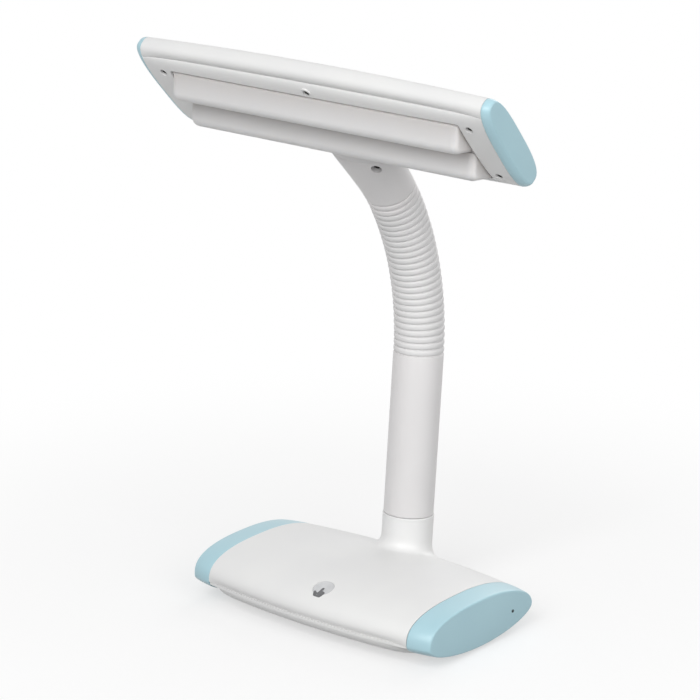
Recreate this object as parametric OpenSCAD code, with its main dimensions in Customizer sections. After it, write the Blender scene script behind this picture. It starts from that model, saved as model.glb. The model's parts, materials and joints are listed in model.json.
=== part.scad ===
// Desk lamp with a bending ribbed neck, a weighted base and a twin-bar light head.
// Millimetres. The origin is the middle of the base on the table.
// +X is the lamp's right end, -Y is the user's side and +Z is up.

/* [Base] */
// Length of the white part of the base, between the seams of its end caps
base_length = 202; // [190:1:240]
// Width of the base at its middle
base_width = 151; // [146:1:180]
// How much narrower the base is at the cap seams
base_bow = 15.5; // [0:0.5:17]
// Height of the parting line between the top and bottom shells
part_height = 19; // [18:0.5:24]
// Rise of the top shell above the parting line, at its middle
dome_rise = 26; // [24:0.5:32]
// How much lower the dome is at the cap seams
dome_crown = 2.5; // [0:0.5:4]
// Wall of the base shells and caps
base_wall = 2.4; // [1.6:0.1:3]
// Depth of each end cap of the base
base_cap_depth = 20.5; // [14:0.5:24]
// How much each cap narrows per side towards its end face
base_cap_taper = 4.5; // [2:0.5:10]
// Thickness of the foam pad under the base
pad_thickness = 2; // [1:0.5:4]

/* [Touch switch] */
// Diameter of the touch pad
touch_diameter = 17; // [12:0.5:22]
// Place of the touch pad along the base
touch_x = 10; // [-40:1:40]
// Place of the touch pad behind the front edge of the base
touch_inset = 18.5; // [13:0.5:30]

/* [Stem] */
// Diameter of the stem and of the ribbed neck
stem_diameter = 40; // [36:0.5:46]
// Length of the plain stem above its socket
stem_length = 132; // [80:1:180]
// Backward lean of the stem, in degrees
stem_lean = 5; // [0:0.5:8]
// Place of the socket's rim behind the middle of the base
socket_y = 58.2; // [40:0.2:60]
// Height of the socket's rim above the table
socket_height = 66; // [62:0.5:80]
// Open seam between the socket's rim and the stem
seam_gap = 0.8; // [0.4:0.1:2]

/* [Neck] */
// Number of ribs on the flexible sleeve
rib_count = 24; // [20:1:24]
// Height of one rib along the neck
rib_height = 4.3; // [3.9:0.1:6]
// Groove between two ribs, at the middle of the neck
rib_gap = 1.3; // [1.1:0.05:1.6]
// Forward bend in each groove at rest, in degrees
rib_bend = 1.45; // [0.8:0.01:1.5]
// Wall of a rib
rib_wall = 2.4; // [2:0.1:3]
// Diameter of the steel gooseneck core
core_diameter = 14; // [10:0.5:16]
// Diameter of the lamp lead inside the core
lead_diameter = 6; // [4:0.5:7]

/* [Neck fairing] */
// Length of the curved part of the fairing
fairing_curve = 27; // [24:1:40]
// Forward turn of the curved part, in degrees
fairing_turn = 10; // [6:0.2:16]
// Straight part of the fairing, up to the head's rear edge
fairing_straight = 34.4; // [28:0.2:45]
// Width of the fairing below its shoulder
fairing_width = 62; // [52:1:70]
// Thickness of the fairing below its shoulder
fairing_thickness = 30; // [26:0.5:34]
// Thickness of the tongue that the fairing carries into the head
tongue_thickness = 22; // [20:0.5:24]
// Length of the shoulder where the fairing draws in to its tongue
fairing_shoulder = 9; // [5:0.5:12]

/* [Head] */
// How far the head sits to its light side of the neck's own line
head_drop = 2.8; // [0:0.2:3.4]
// How much nearer the middle the head's rear corners lie than its front corners
head_draft = 5.5; // [0:0.5:8]
// White end of the light side beyond each end of the diffusers
bezel_end = 26.5; // [24:0.5:40]
// Width of the head at its middle
head_width = 98.4; // [96:0.2:110]
// How much narrower the head is at the cap seams
head_bow = 6.4; // [0:0.2:7]
// Rise of the head's back above its middle plane, at its middle
back_rise = 14.2; // [13.6:0.2:18]
// How much flatter the back is at the cap seams
back_crown = 2.6; // [0:0.2:4]
// Depth of the head on its light side
light_depth = 12.1; // [12:0.1:14]
// Wall of the head's shells and caps
head_wall = 2.2; // [1.8:0.1:2.4]
// Depth of each end cap of the head
head_cap_depth = 7; // [6:0.5:14]
// How much each head cap narrows per side towards its end face
head_cap_taper = 4.4; // [2:0.2:5]

/* [Diffusers] */
// Length of each diffuser bar
diffuser_length = 277; // [240:1:278]
// Width of each diffuser bar
diffuser_width = 30; // [29:0.5:31]
// Spacing of the two diffuser bars
diffuser_pitch = 31.2; // [31.2:0.1:33]
// Height of a diffuser's roof lines above the cover, where they would meet
diffuser_ridge = 14.9; // [12:0.1:22]
// Radius of a diffuser's rounded crest
crest_radius = 7; // [4:0.5:9]
// Wall of a diffuser
diffuser_wall = 1.6; // [1.2:0.1:2.4]
// Diodes on each lamp board
diode_count = 24; // [8:1:32]

/* [Hidden] */
$fn = 64;
fit = 0.05;
clear = 0.4;
through = 1;

// Lofted outlines
base_front_power = 2.7;
base_rear_power = 2;
base_low_power = 1.9;
tray_power = 2.4;
head_power = 3;
fairing_power = 2.2;
pad_power = 5;
arc_steps = 24;
ring_steps = 48;
base_half = base_length / 2;
head_length = diffuser_length + 2 * bezel_end;
head_half = head_length / 2;
shell_stations = [for (i = [-4 : 4]) i / 4];
tray_stations = [-1, -0.97, -0.9, -0.78, -0.5, 0, 0.5, 0.78, 0.9, 0.97, 1];
cap_stations = [0, 0.35, 0.7, 0.93];
cap_edge = 1.5;
cap_cheek = 16;

// Base
floor_height = pad_thickness;
cap_floor_gap = 0.2;
tray_inset = 1;
tray_corner = 12;
tray_end = 0.995;
tray_depth = part_height;
cap_low = part_height - floor_height - cap_floor_gap;
pad_half = [0.86 * base_half, 0.5 * base_width / 2];
post_at = [0.78 * base_half, 0.58 * base_width / 2];
post_radius = 5;
post_top = 13;
screw_radius = 1.5;
screw_head_radius = 3.2;
screw_head = 2.2;
screw_seat = 8;
screw_length = 14;
ballast = [base_length - 80, base_width / 2, 10];
ballast_at = [12, 0];
board = [30, 70, 1.6];
board_at = [26 - base_half, 0];
board_post_radius = 3;
board_post_inset = 4;
board_height = 11;
chip = [9, 7, 3];
touch_radius = touch_diameter / 2;
touch_y = touch_inset - base_half_width(touch_x);
touch_thickness = 1;
touch_proud = 0.2;
sensor_radius = 0.75 * touch_radius;
sensor_thickness = 0.8;
sensor_drop = 0.3;
inlet_x = -0.6 * base_half;
inlet_height = part_height + 9;
inlet_radius = 5.5;
inlet_boss_radius = inlet_radius + 2.5;
inlet_recess = 15.5;
inlet_bore = 2.8;
inlet_pin = 1;
inlet_depth = 8;
inlet_body = [12, 12, 11];
indicator_radius = 1.3;
indicator_at = [37.5, 20.1];
indicator_length = 5;

// Stem, in its own frame: the socket's rim is z = 0 and the stem runs up +Z
stem_radius = stem_diameter / 2;
socket_radius = stem_radius + 0.5;
socket_flare = [socket_radius + 2, 24, 12];
socket_foot = (socket_height - part_height) / cos(stem_lean) - stem_radius * tan(stem_lean) - 1;
spigot_radius = stem_radius - 2.4;
spigot_length = 30;
ledge = 4;
nipple_radius = 8.4;
nipple_length = 14;
washer_radius = 15;
washer = 2;
nut_radius = 13;
nut = 5;
stem_bore = spigot_radius - 2.1;
ferrule_length = 20;
ferrule_depth = 4;

// Neck
neck_radius = stem_radius;
rib_bore = neck_radius - rib_wall;
rib_flange = 1;
collar_radius = rib_bore - clear;
collar_bore = collar_radius - 1.5;
collar_reach = 1.9;
rib_chamfer = 0.6;
core_radius = core_diameter / 2;
lead_radius = lead_diameter / 2;
core_bore = lead_radius + clear;
core_sides = 12;
lead_sides = 10;

// Head, in its own frame: +Z runs from the rear edge to the front edge, -Y is the light side
head_reach = head_width / 2;
cover_part = 9;
cover_half = head_reach - 5;
tongue_depth = 12;
tongue_fit = 0.15;
diffuser_fit = 0.4;
diffuser_middle = -3.2;
plate = 1.5;
plate_y = -4.6;
plate_half = [diffuser_length / 2 + 1, 32.4];
lamp_board = [diffuser_length - 9, 1.2, 22];
diode = [3, 0.8, 3];
diode_margin = 6;
support_at = [0.36 * diffuser_length, 20];
support_radius = 3;
cover_screw_at = [head_half - 16.7, 26.9];
cover_screw_shift = -1.8;
cover_screw_middle = head_reach - 16.8;
cover_screw_radius = 1.25;
cover_screw_head_radius = 2.4;
cover_screw_head = 2;
cover_screw_seat = -8.4;
cover_screw_length = 9;
cover_boss_radius = 4.2;
shell_boss_radius = 3.4;
boss_meet = -4;
bracket = [52, 6, 22];
bracket_y = lead_radius + clear;
fairing_screw_at = [13.4, 6.4];
fairing_screw_turn = 20;
fairing_screw_radius = 1.75;
fairing_screw_head_radius = 3.4;
fairing_screw_head = 2.4;
fairing_screw_seat = -8;
fairing_screw_length = 6;
fairing_hole_radius = 4.2;
passage_gap = 6;
passage_share = 0.6;
ferrule_wall = 2;
upper_ferrule_depth = 14;
lead_passage = lead_radius + head_drop + clear;
cap_draw = [0.2, 0.93, 0.6];

white = "#ececec";
blue = "#a9ced8";
milky = "#ddd9d7";
steel = "#9a9ea2";

function rib_name(k) = str("rib_", k < 10 ? "0" : "", k);

// Outlines and lofts

function power(v, p) = sign(v) * pow(abs(v), p);

// Point of a rounded oval at angle t, measured from the first half size
function oval(t, a, b, n) = [a * power(cos(t), 2 / n), b * power(sin(t), 2 / n)];

// Solid through a list of equal rings, each counter-clockwise about the way the loft runs.
// The ring of a shell runs out along its outside and back along its inside.
module loft(rings, shell = false) {
    n = len(rings[0]);
    last = n * (len(rings) - 1);
    sides = [for (j = [0 : len(rings) - 2], i = [0 : n - 1])
        let (a = n * j + i, b = n * j + (i + 1) % n)
        each [[a, a + n, b + n], [a, b + n, b]]];
    strip = [for (i = [0 : n / 2 - 2])
        each [[i, i + 1, n - 2 - i], [i, n - 2 - i, n - 1 - i]]];
    ends = shell
        ? concat(strip, [for (t = strip) [last + t[2], last + t[1], last + t[0]]])
        : [[for (i = [0 : n - 1]) i], [for (i = [n - 1 : -1 : 0]) last + i]];
    polyhedron([for (ring = rings) each ring], concat(sides, ends), convexity = 6);
}

// Round bar along a planar path of [point, heading] pairs
module bar(path, radius, sides) {
    loft([for (p = path) [for (i = [0 : sides - 1])
        let (t = 360 * i / sides)
        p[0] + radius * (cos(t) * [1, 0, 0] + sin(t) * [0, cos(p[1]), sin(p[1])])]]);
}

// Base shape

function base_half_width(x) = base_width / 2 - base_bow / 2 * pow(x / base_half, 2);
function dome_at(x) = dome_rise - dome_crown * pow(x / base_half, 2);
function side_power(y) = y < 0 ? base_front_power : base_rear_power;
function dome_height(x, y) =
    part_height + dome_at(x)
    * pow(1 - pow(abs(y) / base_half_width(x), side_power(y)), 1 / side_power(y));

// Half outline of the dome over a half width and a rise, blunter in front than behind
function dome_arc(x, w, h) =
    [for (i = [0 : arc_steps])
        let (t = 180 * i / arc_steps, p = oval(t, w, h, side_power(cos(t))))
        [x, p[0], part_height + p[1]]];
function reverse(list) = [for (i = [len(list) - 1 : -1 : 0]) list[i]];

function top_shell_ring(x) =
    let (w = base_half_width(x), h = dome_at(x))
    concat(dome_arc(x, w, h), reverse(dome_arc(x, w - base_wall, h - base_wall)));

// Edge of the tray's rim, which fills the corners under the top shell
function rim_point(s, side) =
    [s * tray_end * base_half, side * (base_half_width(s * base_half) - tray_inset)];

// Lower half outline of the tray, drawn in by the wall, closed at a height above the parting line
function tray_ring(s, wall, lid) =
    let (x = s * (tray_end * base_half - wall))
    let (corner = pow(1 - pow(abs(s) * tray_end, tray_corner), 1 / tray_corner))
    let (w = corner * (base_half_width(x) - tray_inset) - wall, h = corner * tray_depth - wall)
    concat(
        [for (i = [0 : arc_steps])
            let (p = oval(180 + 180 * i / arc_steps, w, h, tray_power))
            [x, p[0], max(floor_height + wall, part_height + p[1])]],
        [[x, w, part_height + lid], [x, -w, part_height + lid]]);

// Closed outline of a base cap, at a share q of its depth and drawn in by an inset.
// The inside is drawn in further at its cheeks, which close the corners beside the tray.
function base_cap_ring(q, inset, cheek = 0) =
    let (drop = base_cap_taper * pow(q, 1.6))
    let (w = base_half_width(base_half) - drop - inset - cheek)
    let (top = dome_at(base_half) - 0.3 * drop - inset, low = cap_low - 0.1 * drop - inset)
    [for (i = [0 : ring_steps - 1])
        let (t = 360 * i / ring_steps, upper = t <= 180)
        let (p = oval(t, w, upper ? top : low, upper ? side_power(cos(t)) : base_low_power))
        [base_half + q * base_cap_depth, p[0], part_height + p[1]]];

// Cup with its mouth at the seam: the rings run down the inside and back up the outside
module base_cap() {
    loft(concat(
        [base_cap_ring(1 - base_wall / base_cap_depth, base_wall, cap_cheek)],
        [for (i = [2 : -1 : 0]) base_cap_ring(cap_stations[i], base_wall, cap_cheek)],
        [for (q = cap_stations) base_cap_ring(q, 0)],
        [base_cap_ring(1, cap_edge)]));
}

// The space under the dome, drawn in by a wall and down to the floor
module dome(wall) {
    loft([for (s = shell_stations)
        let (x = s * base_half, w = base_half_width(x) - wall)
        concat(dome_arc(x, w, dome_at(x) - wall), [[x, -w, floor_height], [x, w, floor_height]])]);
}

module at_posts() {
    for (sx = [-1, 1], sy = [-1, 1])
        translate([sx * post_at[0], sy * post_at[1], 0])
            children();
}

// The touch pad lies on the chord between its front and rear edges
module at_touch() {
    front = dome_height(touch_x, touch_y - touch_radius);
    rear = dome_height(touch_x, touch_y + touch_radius);
    translate([touch_x, touch_y, (front + rear) / 2])
        rotate([atan((rear - front) / touch_diameter), 0, 0])
            children();
}

module at_inlet() {
    translate([inlet_x, base_half_width(inlet_x) - inlet_recess, inlet_height])
        rotate([-90, 0, 0])
            children();
}

module base_top_shell() {
    color(white)
    difference() {
        union() {
            loft([for (s = shell_stations) top_shell_ring(s * base_half)], shell = true);
            in_stem()
                socket();
            intersection() {
                dome(0);
                at_inlet()
                    translate([0, 0, -inlet_depth])
                        cylinder(r = inlet_boss_radius, h = inlet_depth + 2 * inlet_recess);
            }
            intersection() {
                dome(base_wall / 2);
                at_posts()
                    translate([0, 0, post_top])
                        cylinder(r = post_radius, h = part_height + dome_rise);
            }
        }
        in_stem() {
            translate([0, 0, -spigot_length])
                cylinder(r = spigot_radius + fit, h = spigot_length + through);
            translate([0, 0, -spigot_length - ledge - through])
                cylinder(r = nipple_radius + fit, h = ledge + 2 * through);
            translate([0, 0, -socket_foot - through])
                cylinder(r = spigot_radius + fit, h = socket_foot + through - spigot_length - ledge);
        }
        at_touch()
            translate([0, 0, touch_proud - touch_thickness])
                cylinder(r = touch_radius + fit, h = 3 * touch_thickness);
        at_inlet()
            translate([0, 0, -inlet_depth - through])
                cylinder(r = inlet_radius + fit, h = inlet_depth + 3 * inlet_recess);
        at_posts()
            translate([0, 0, post_top - through])
                cylinder(r = screw_radius + fit, h = screw_length);
    }
}

// Collar that holds the stem, with a flared foot
module socket() {
    rotate_extrude()
        polygon([[0, 0], [socket_radius, 0], [socket_radius, -socket_flare[2]],
            [socket_flare[0], -socket_flare[1]], [socket_radius, -socket_foot], [0, -socket_foot]]);
}

module base_bottom_shell() {
    color(white)
    difference() {
        union() {
            difference() {
                union() {
                    loft([for (s = tray_stations) tray_ring(s, 0, 0)]);
                    translate([0, 0, part_height - base_wall])
                        linear_extrude(base_wall)
                            polygon(concat(
                                [for (s = shell_stations) rim_point(s, 1)],
                                [for (s = shell_stations) rim_point(-s, -1)]));
                }
                loft([for (s = tray_stations) tray_ring(s, base_wall, 2 * through)]);
            }
            at_posts()
                translate([0, 0, floor_height + base_wall / 2])
                    cylinder(r = post_radius, h = post_top - floor_height - base_wall / 2);
            at_board_posts()
                translate([0, 0, floor_height + base_wall / 2])
                    cylinder(r = board_post_radius, h = board_height - floor_height - base_wall / 2);
        }
        at_posts() {
            cylinder(r = screw_radius + fit, h = post_top + through);
            cylinder(r = screw_head_radius + fit, h = screw_seat);
        }
    }
}

module base_cap_left() {
    color(blue)
    mirror([1, 0, 0])
        base_cap();
}

module at_indicator() {
    translate([base_half + base_cap_depth, indicator_at[0], indicator_at[1]])
        rotate([0, -90, 0])
            children();
}

module base_cap_right() {
    color(blue)
    difference() {
        base_cap();
        at_indicator()
            translate([0, 0, -through])
                cylinder(r = indicator_radius + fit, h = indicator_length + through);
    }
}

module ballast_plate() {
    color(steel)
    translate([ballast_at[0] - ballast[0] / 2, ballast_at[1] - ballast[1] / 2, floor_height + base_wall])
        cube(ballast);
}

module at_board_posts() {
    for (sx = [-1, 1], sy = [-1, 1])
        translate([
            board_at[0] + sx * (board[0] / 2 - board_post_inset),
            board_at[1] + sy * (board[1] / 2 - board_post_inset), 0])
            children();
}

module control_board() {
    color("#3f7a55")
    translate([board_at[0] - board[0] / 2, board_at[1] - board[1] / 2, board_height]) {
        cube(board);
        for (i = [0 : 3])
            translate([(board[0] - chip[0]) / 2, board[1] * (i + 0.6) / 4 - chip[1] / 2, board[2]])
                cube(chip);
    }
}

module touch_pad() {
    color("#a8a9ab")
    at_touch()
        translate([0, 0, touch_proud - touch_thickness])
            cylinder(r = touch_radius, h = touch_thickness);
}

module touch_sensor() {
    color("#b87333")
    at_touch()
        translate([0, 0, -base_wall - sensor_drop - sensor_thickness])
            cylinder(r = sensor_radius, h = sensor_thickness);
}

module power_inlet() {
    color("#2b2b2b")
    at_inlet()
        difference() {
            union() {
                translate([0, 0, -inlet_depth])
                    cylinder(r = inlet_radius, h = inlet_depth);
                translate([-inlet_body[0] / 2, -inlet_body[1] / 2, -inlet_depth - inlet_body[2]])
                    cube(inlet_body);
            }
            translate([0, 0, -inlet_depth])
                difference() {
                    cylinder(r = inlet_bore, h = inlet_depth + through);
                    cylinder(r = inlet_pin, h = inlet_depth - through);
                }
        }
}

module indicator_lens() {
    color("#2c3a3f")
    at_indicator()
        cylinder(r = indicator_radius, h = indicator_length);
}

module base_pad() {
    color("#333333")
    linear_extrude(pad_thickness)
        polygon([for (i = [0 : ring_steps - 1])
            oval(360 * i / ring_steps, pad_half[0], pad_half[1], pad_power)]);
}

module base_screws() {
    color(steel)
    at_posts()
        translate([0, 0, screw_seat - screw_head]) {
            cylinder(r = screw_head_radius, h = screw_head);
            cylinder(r = screw_radius, h = screw_length);
        }
}

// Stem and neck frames

function way(heading) = [0, -sin(heading), cos(heading)];
function across(heading) = [0, cos(heading), sin(heading)];
function heading(k) = k * rib_bend - stem_lean;

socket_rim = [0, socket_y, socket_height];
stem_top = socket_rim + stem_length * way(-stem_lean);

// Middle of the lower face of rib k, with the fairing as the rib after the last
function rib_foot(k) =
    (k == 1 ? stem_top : rib_foot(k - 1) + rib_height * way(heading(k - 1)))
    + rib_gap / 2 * (way(heading(k - 1)) + way(heading(k)));

top_rib = rib_count + 1;
fairing_start = rib_foot(top_rib);
fairing_heading = heading(top_rib);
head_heading = fairing_heading + fairing_turn;
curve_steps = 6;
function curve_point(i) =
    i == 0 ? fairing_start
    : curve_point(i - 1)
        + fairing_curve / curve_steps * way(fairing_heading + fairing_turn * (i - 0.5) / curve_steps);
function curve_heading(i) = fairing_heading + fairing_turn * i / curve_steps;
rear_edge = curve_point(curve_steps) + fairing_straight * way(head_heading);
neck_line_end = rear_edge + head_reach * way(head_heading);
head_middle = neck_line_end - head_drop * across(head_heading);

module in_stem() {
    translate(socket_rim)
        rotate([-stem_lean, 0, 0])
            children();
}

module in_rib(k) {
    translate(rib_foot(k))
        rotate([heading(k), 0, 0])
            children();
}

module in_head() {
    translate(head_middle)
        rotate([head_heading, 0, 0])
            children();
}

// The head's frame with its Z on the neck's own line
module on_neck_line() {
    translate(neck_line_end)
        rotate([head_heading, 0, 0])
            children();
}

// Stem and neck pieces

// Collar that reaches up from one rib, or from the stem, into the bore of the next
collar_top = rib_gap + collar_reach;

module stem_tube() {
    color(milky)
    in_stem()
        rotate_extrude()
            polygon([
                [stem_bore, -spigot_length + ledge], [nipple_radius - 3, -spigot_length + ledge],
                [nipple_radius - 3, -spigot_length - nipple_length],
                [nipple_radius, -spigot_length - nipple_length],
                [nipple_radius, -spigot_length], [spigot_radius, -spigot_length],
                [spigot_radius, seam_gap], [stem_radius, seam_gap],
                [stem_radius, stem_length - rib_chamfer],
                [stem_radius - rib_chamfer, stem_length], [collar_radius, stem_length],
                [collar_radius, stem_length + collar_top], [collar_bore, stem_length + collar_top],
                [collar_bore, stem_length - rib_flange], [stem_bore, stem_length - 2 * rib_flange]]);
}

module stem_washer() {
    color(steel)
    in_stem()
        translate([0, 0, -spigot_length - ledge - washer])
            difference() {
                cylinder(r = washer_radius, h = washer);
                translate([0, 0, -through])
                    cylinder(r = nipple_radius + fit, h = washer + 2 * through);
            }
}

module stem_nut() {
    color(steel)
    in_stem()
        translate([0, 0, -spigot_length - ledge - washer - nut])
            difference() {
                cylinder(r = nut_radius, h = nut, $fn = 6);
                translate([0, 0, -through])
                    cylinder(r = nipple_radius + fit, h = nut + 2 * through);
            }
}

module lower_ferrule() {
    color(steel)
    in_stem()
        translate([0, 0, stem_length - ferrule_depth - ferrule_length])
            difference() {
                cylinder(r = stem_bore - fit, h = ferrule_length);
                translate([0, 0, -through])
                    cylinder(r = core_radius + clear, h = ferrule_length + 2 * through);
            }
}

// Middle line of the neck from the stem's top to the head, as [point, heading] pairs
neck_path = concat(
    [for (k = [1 : rib_count]) [rib_foot(k), heading(k)]],
    [for (i = [0 : curve_steps]) [curve_point(i), curve_heading(i)]]);

function on_stem(z) = [socket_rim + z * way(-stem_lean), -stem_lean];
function on_head(z) = [head_middle + z * way(head_heading), head_heading];
function on_line(z) = [neck_line_end + z * way(head_heading), head_heading];
tongue_end = tongue_depth - head_reach;
upper_ferrule_top = tongue_end - upper_ferrule_depth;

module gooseneck_core() {
    low = stem_length - ferrule_depth - ferrule_length;
    color(steel)
    difference() {
        bar(concat([on_stem(low)], neck_path, [on_line(upper_ferrule_top)]), core_radius, core_sides);
        bar(concat([on_stem(low - through)], neck_path, [on_line(upper_ferrule_top + through)]),
            core_bore, core_sides);
    }
}

lead_foot = -spigot_length - nipple_length;

module lamp_lead() {
    color("#f4f4f4")
    bar(concat([on_stem(lead_foot), on_stem(0)], neck_path,
            [on_line(upper_ferrule_top), on_head(tongue_end - 1), on_head(tongue_end + bracket[2] - 4)]),
        lead_radius, lead_sides);
}

module rib(k) {
    color(white)
    in_rib(k)
        rotate_extrude()
            polygon([
                [rib_bore, 0], [neck_radius - rib_chamfer, 0], [neck_radius, rib_chamfer],
                [neck_radius, rib_height - rib_chamfer], [neck_radius - rib_chamfer, rib_height],
                [collar_radius, rib_height], [collar_radius, rib_height + collar_top],
                [collar_bore, rib_height + collar_top], [collar_bore, rib_height - rib_flange],
                [rib_bore, rib_height - rib_flange]]);
}

// Fairing outline at a distance from the last rib, with a shoulder that draws in to the tongue
fairing_run = fairing_curve + fairing_straight;
tongue_half = [fairing_width / 2 - 2, tongue_thickness / 2];
function fairing_ring(p, d) =
    let (s = d / fairing_run, u = max(0, 1 - (fairing_run - d) / fairing_shoulder))
    let (full = sqrt(max(0, 1 - u * u)))
    let (a = stem_radius + (fairing_width / 2 - stem_radius) * pow(s, 1.3))
    let (b = stem_radius + (fairing_thickness / 2 - stem_radius) * pow(s, 0.8))
    let (n = 2 + (fairing_power - 2) * s)
    let (half = tongue_half + full * ([a, b] - tongue_half))
    [for (i = [0 : ring_steps - 1])
        let (q = oval(360 * i / ring_steps, half[0], half[1], n))
        p[0] + q[0] * [1, 0, 0] + (q[1] - head_drop * (1 - full)) * across(p[1])];

straight_start = -head_reach - fairing_straight;
straight_places = concat(
    [for (i = [1 : 4]) i / 4 * (fairing_straight - fairing_shoulder)],
    [for (t = [20 : 17.5 : 90]) fairing_straight - fairing_shoulder * (1 - sin(t))]);

module neck_fairing() {
    color(milky)
    difference() {
        loft(concat(
            [for (i = [0 : curve_steps])
                fairing_ring([curve_point(i), curve_heading(i)], i / curve_steps * fairing_curve)],
            [for (d = straight_places) fairing_ring(on_line(straight_start + d), fairing_curve + d)],
            [fairing_ring(on_line(tongue_end), fairing_run)]));
        in_rib(top_rib) {
            translate([0, 0, -through])
                cylinder(r = rib_bore, h = rib_height - rib_flange + through);
            cylinder(r = core_radius + passage_gap, h = passage_share * fairing_curve);
        }
        on_neck_line() {
            translate([0, 0, straight_start - 0.5 * fairing_curve])
                cylinder(r = core_radius + ferrule_wall + fit,
                    h = upper_ferrule_top - straight_start + 0.5 * fairing_curve);
            translate([0, 0, upper_ferrule_top - through])
                cylinder(r = lead_passage, h = upper_ferrule_depth + 2 * through);
            at_fairing_screw() {
                translate([0, 0, fairing_screw_seat - stem_diameter])
                    cylinder(r = fairing_hole_radius, h = stem_diameter);
                translate([0, 0, fairing_screw_seat - through])
                    cylinder(r = fairing_screw_radius + fit, h = fairing_screw_length + 2 * through);
            }
        }
    }
}

// Screw place on the light side of the fairing, with +Z into it
module at_fairing_screw() {
    translate([fairing_screw_at[0], 0, -head_reach - fairing_screw_at[1]])
        rotate([0, 0, fairing_screw_turn])
            rotate([-90, 0, 0])
                children();
}

module fairing_screw() {
    color("#6d6f72")
    on_neck_line()
        at_fairing_screw()
            translate([0, 0, fairing_screw_seat - fairing_screw_head]) {
                cylinder(r = fairing_screw_head_radius, h = fairing_screw_head);
                cylinder(r = fairing_screw_radius, h = fairing_screw_head + fairing_screw_length);
            }
}

module upper_ferrule() {
    color(steel)
    on_neck_line()
        translate([0, 0, upper_ferrule_top - ferrule_length])
            difference() {
                cylinder(r = core_radius + ferrule_wall, h = ferrule_length);
                translate([0, 0, -through])
                    cylinder(r = core_radius + clear, h = ferrule_length + 2 * through);
            }
}

// Head shape

function head_half_width(x) = head_reach - head_bow / 2 * pow(x / head_half, 2);
function back_at(x) = back_rise - back_crown * pow(x / head_half, 2);

function back_height(x, z) =
    back_at(x) * pow(1 - pow(abs(z) / head_half_width(x), head_power), 1 / head_power);

// Place along the head of a point at this depth from its front edge to its shorter rear edge
function drawn(x, z) = x * (1 - head_draft / head_half * (1 - z / head_reach) / 2);

// Angle of the parting line between the back shell and the cover
part_angle = acos(-pow(cover_part / light_depth, head_power / 2));

// Arc of the head's outline from one angle to another, drawn in by a wall
function head_arc(x, from, to, wall) =
    [for (i = [0 : arc_steps])
        let (t = from + (to - from) * i / arc_steps)
        let (b = cos(t) >= 0 ? back_at(x) - wall : light_depth - wall)
        let (p = oval(t, b, head_half_width(x) - wall, head_power))
        [drawn(x, p[1]), p[0], p[1]]];

function head_shell_ring(x) =
    concat(head_arc(x, -part_angle, part_angle, 0), head_arc(x, part_angle, -part_angle, head_wall));

function head_cover_ring(x) =
    concat(head_arc(x, part_angle, 360 - part_angle, 0),
        head_arc(x, 360 - part_angle, part_angle, head_wall));

// A cap draws in little on its back, more at its ends and most on its light side
function head_cap_ring(q, inset) =
    let (drop = head_cap_taper * pow(q, 2))
    let (half = head_half_width(head_half) - cap_draw[2] * drop - inset)
    [for (i = [0 : ring_steps - 1])
        let (t = 360 * i / ring_steps)
        let (b = cos(t) >= 0 ? back_at(head_half) - cap_draw[0] * drop : light_depth - cap_draw[1] * drop)
        let (p = oval(t, b - 0.6 * inset, half, head_power))
        [drawn(head_half + q * head_cap_depth, p[1]), p[0], p[1]]];

module head_cap() {
    loft(concat(
        [head_cap_ring(1 - head_wall / head_cap_depth, 2 * head_wall)],
        [head_cap_ring(0, 2 * head_wall)],
        [for (q = cap_stations) head_cap_ring(q, 0)],
        [head_cap_ring(1, cap_edge)]));
}

cover_screw_places = concat(
    [for (sx = [-1, 1], sz = [-1, 1]) [sx * cover_screw_at[0], cover_screw_shift + sz * cover_screw_at[1]]],
    [[0, cover_screw_middle]]);
support_places = [for (sx = [-1, 1], sz = [-1, 1]) [sx * support_at[0], sz * support_at[1]]];

module at_cover_screws() {
    for (p = cover_screw_places)
        translate([p[0], 0, p[1]])
            children();
}

// Along the screw's own way, from the light side into the head
module into_head(y) {
    translate([0, y, 0])
        rotate([-90, 0, 0])
            children();
}

// Post from a height inside the head to the middle of the back's wall
module back_post(p, y, radius) {
    into_head(y)
        cylinder(r = radius, h = back_height(p[0], p[1]) - head_wall / 2 - y);
}

module tongue(gap) {
    translate([0, 0, -2 * head_reach])
        linear_extrude(2 * head_reach + tongue_end)
            polygon([for (i = [0 : ring_steps - 1])
                oval(360 * i / ring_steps, tongue_half[0] + gap, tongue_half[1] + gap, fairing_power)]);
}

// Opening for both diffusers, from outside the light side to their carrier plate
module diffuser_window() {
    size = [
        diffuser_length + 2 * diffuser_fit, 2 * light_depth + plate_y,
        diffuser_pitch + diffuser_width + 2 * diffuser_fit];
    translate([-size[0] / 2, -2 * light_depth, diffuser_middle - size[2] / 2])
        cube(size);
}

module head_top_shell() {
    color(white)
    in_head()
        difference() {
            union() {
                loft([for (s = shell_stations) head_shell_ring(s * head_half)], shell = true);
                for (p = cover_screw_places)
                    translate([p[0], 0, p[1]])
                        back_post(p, boss_meet, shell_boss_radius);
                for (p = support_places)
                    translate([p[0], 0, p[1]])
                        back_post(p, plate_y + plate, support_radius);
            }
            tongue(tongue_fit);
            at_cover_screws()
                into_head(boss_meet - through)
                    cylinder(r = cover_screw_radius + fit, h = cover_screw_length);
        }
}

module head_cover() {
    color(white)
    in_head()
        difference() {
            union() {
                loft([for (s = shell_stations) head_cover_ring(s * head_half)], shell = true);
                at_cover_screws()
                    into_head(-light_depth + head_wall / 2)
                        cylinder(r = cover_boss_radius, h = light_depth - head_wall / 2 + boss_meet);
            }
            diffuser_window();
            tongue(tongue_fit);
            at_cover_screws() {
                into_head(-light_depth - through)
                    cylinder(r = cover_screw_head_radius + 2 * fit,
                        h = light_depth + through + cover_screw_seat);
                into_head(cover_screw_seat - through)
                    cylinder(r = cover_screw_radius + fit, h = light_depth);
            }
        }
}

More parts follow.
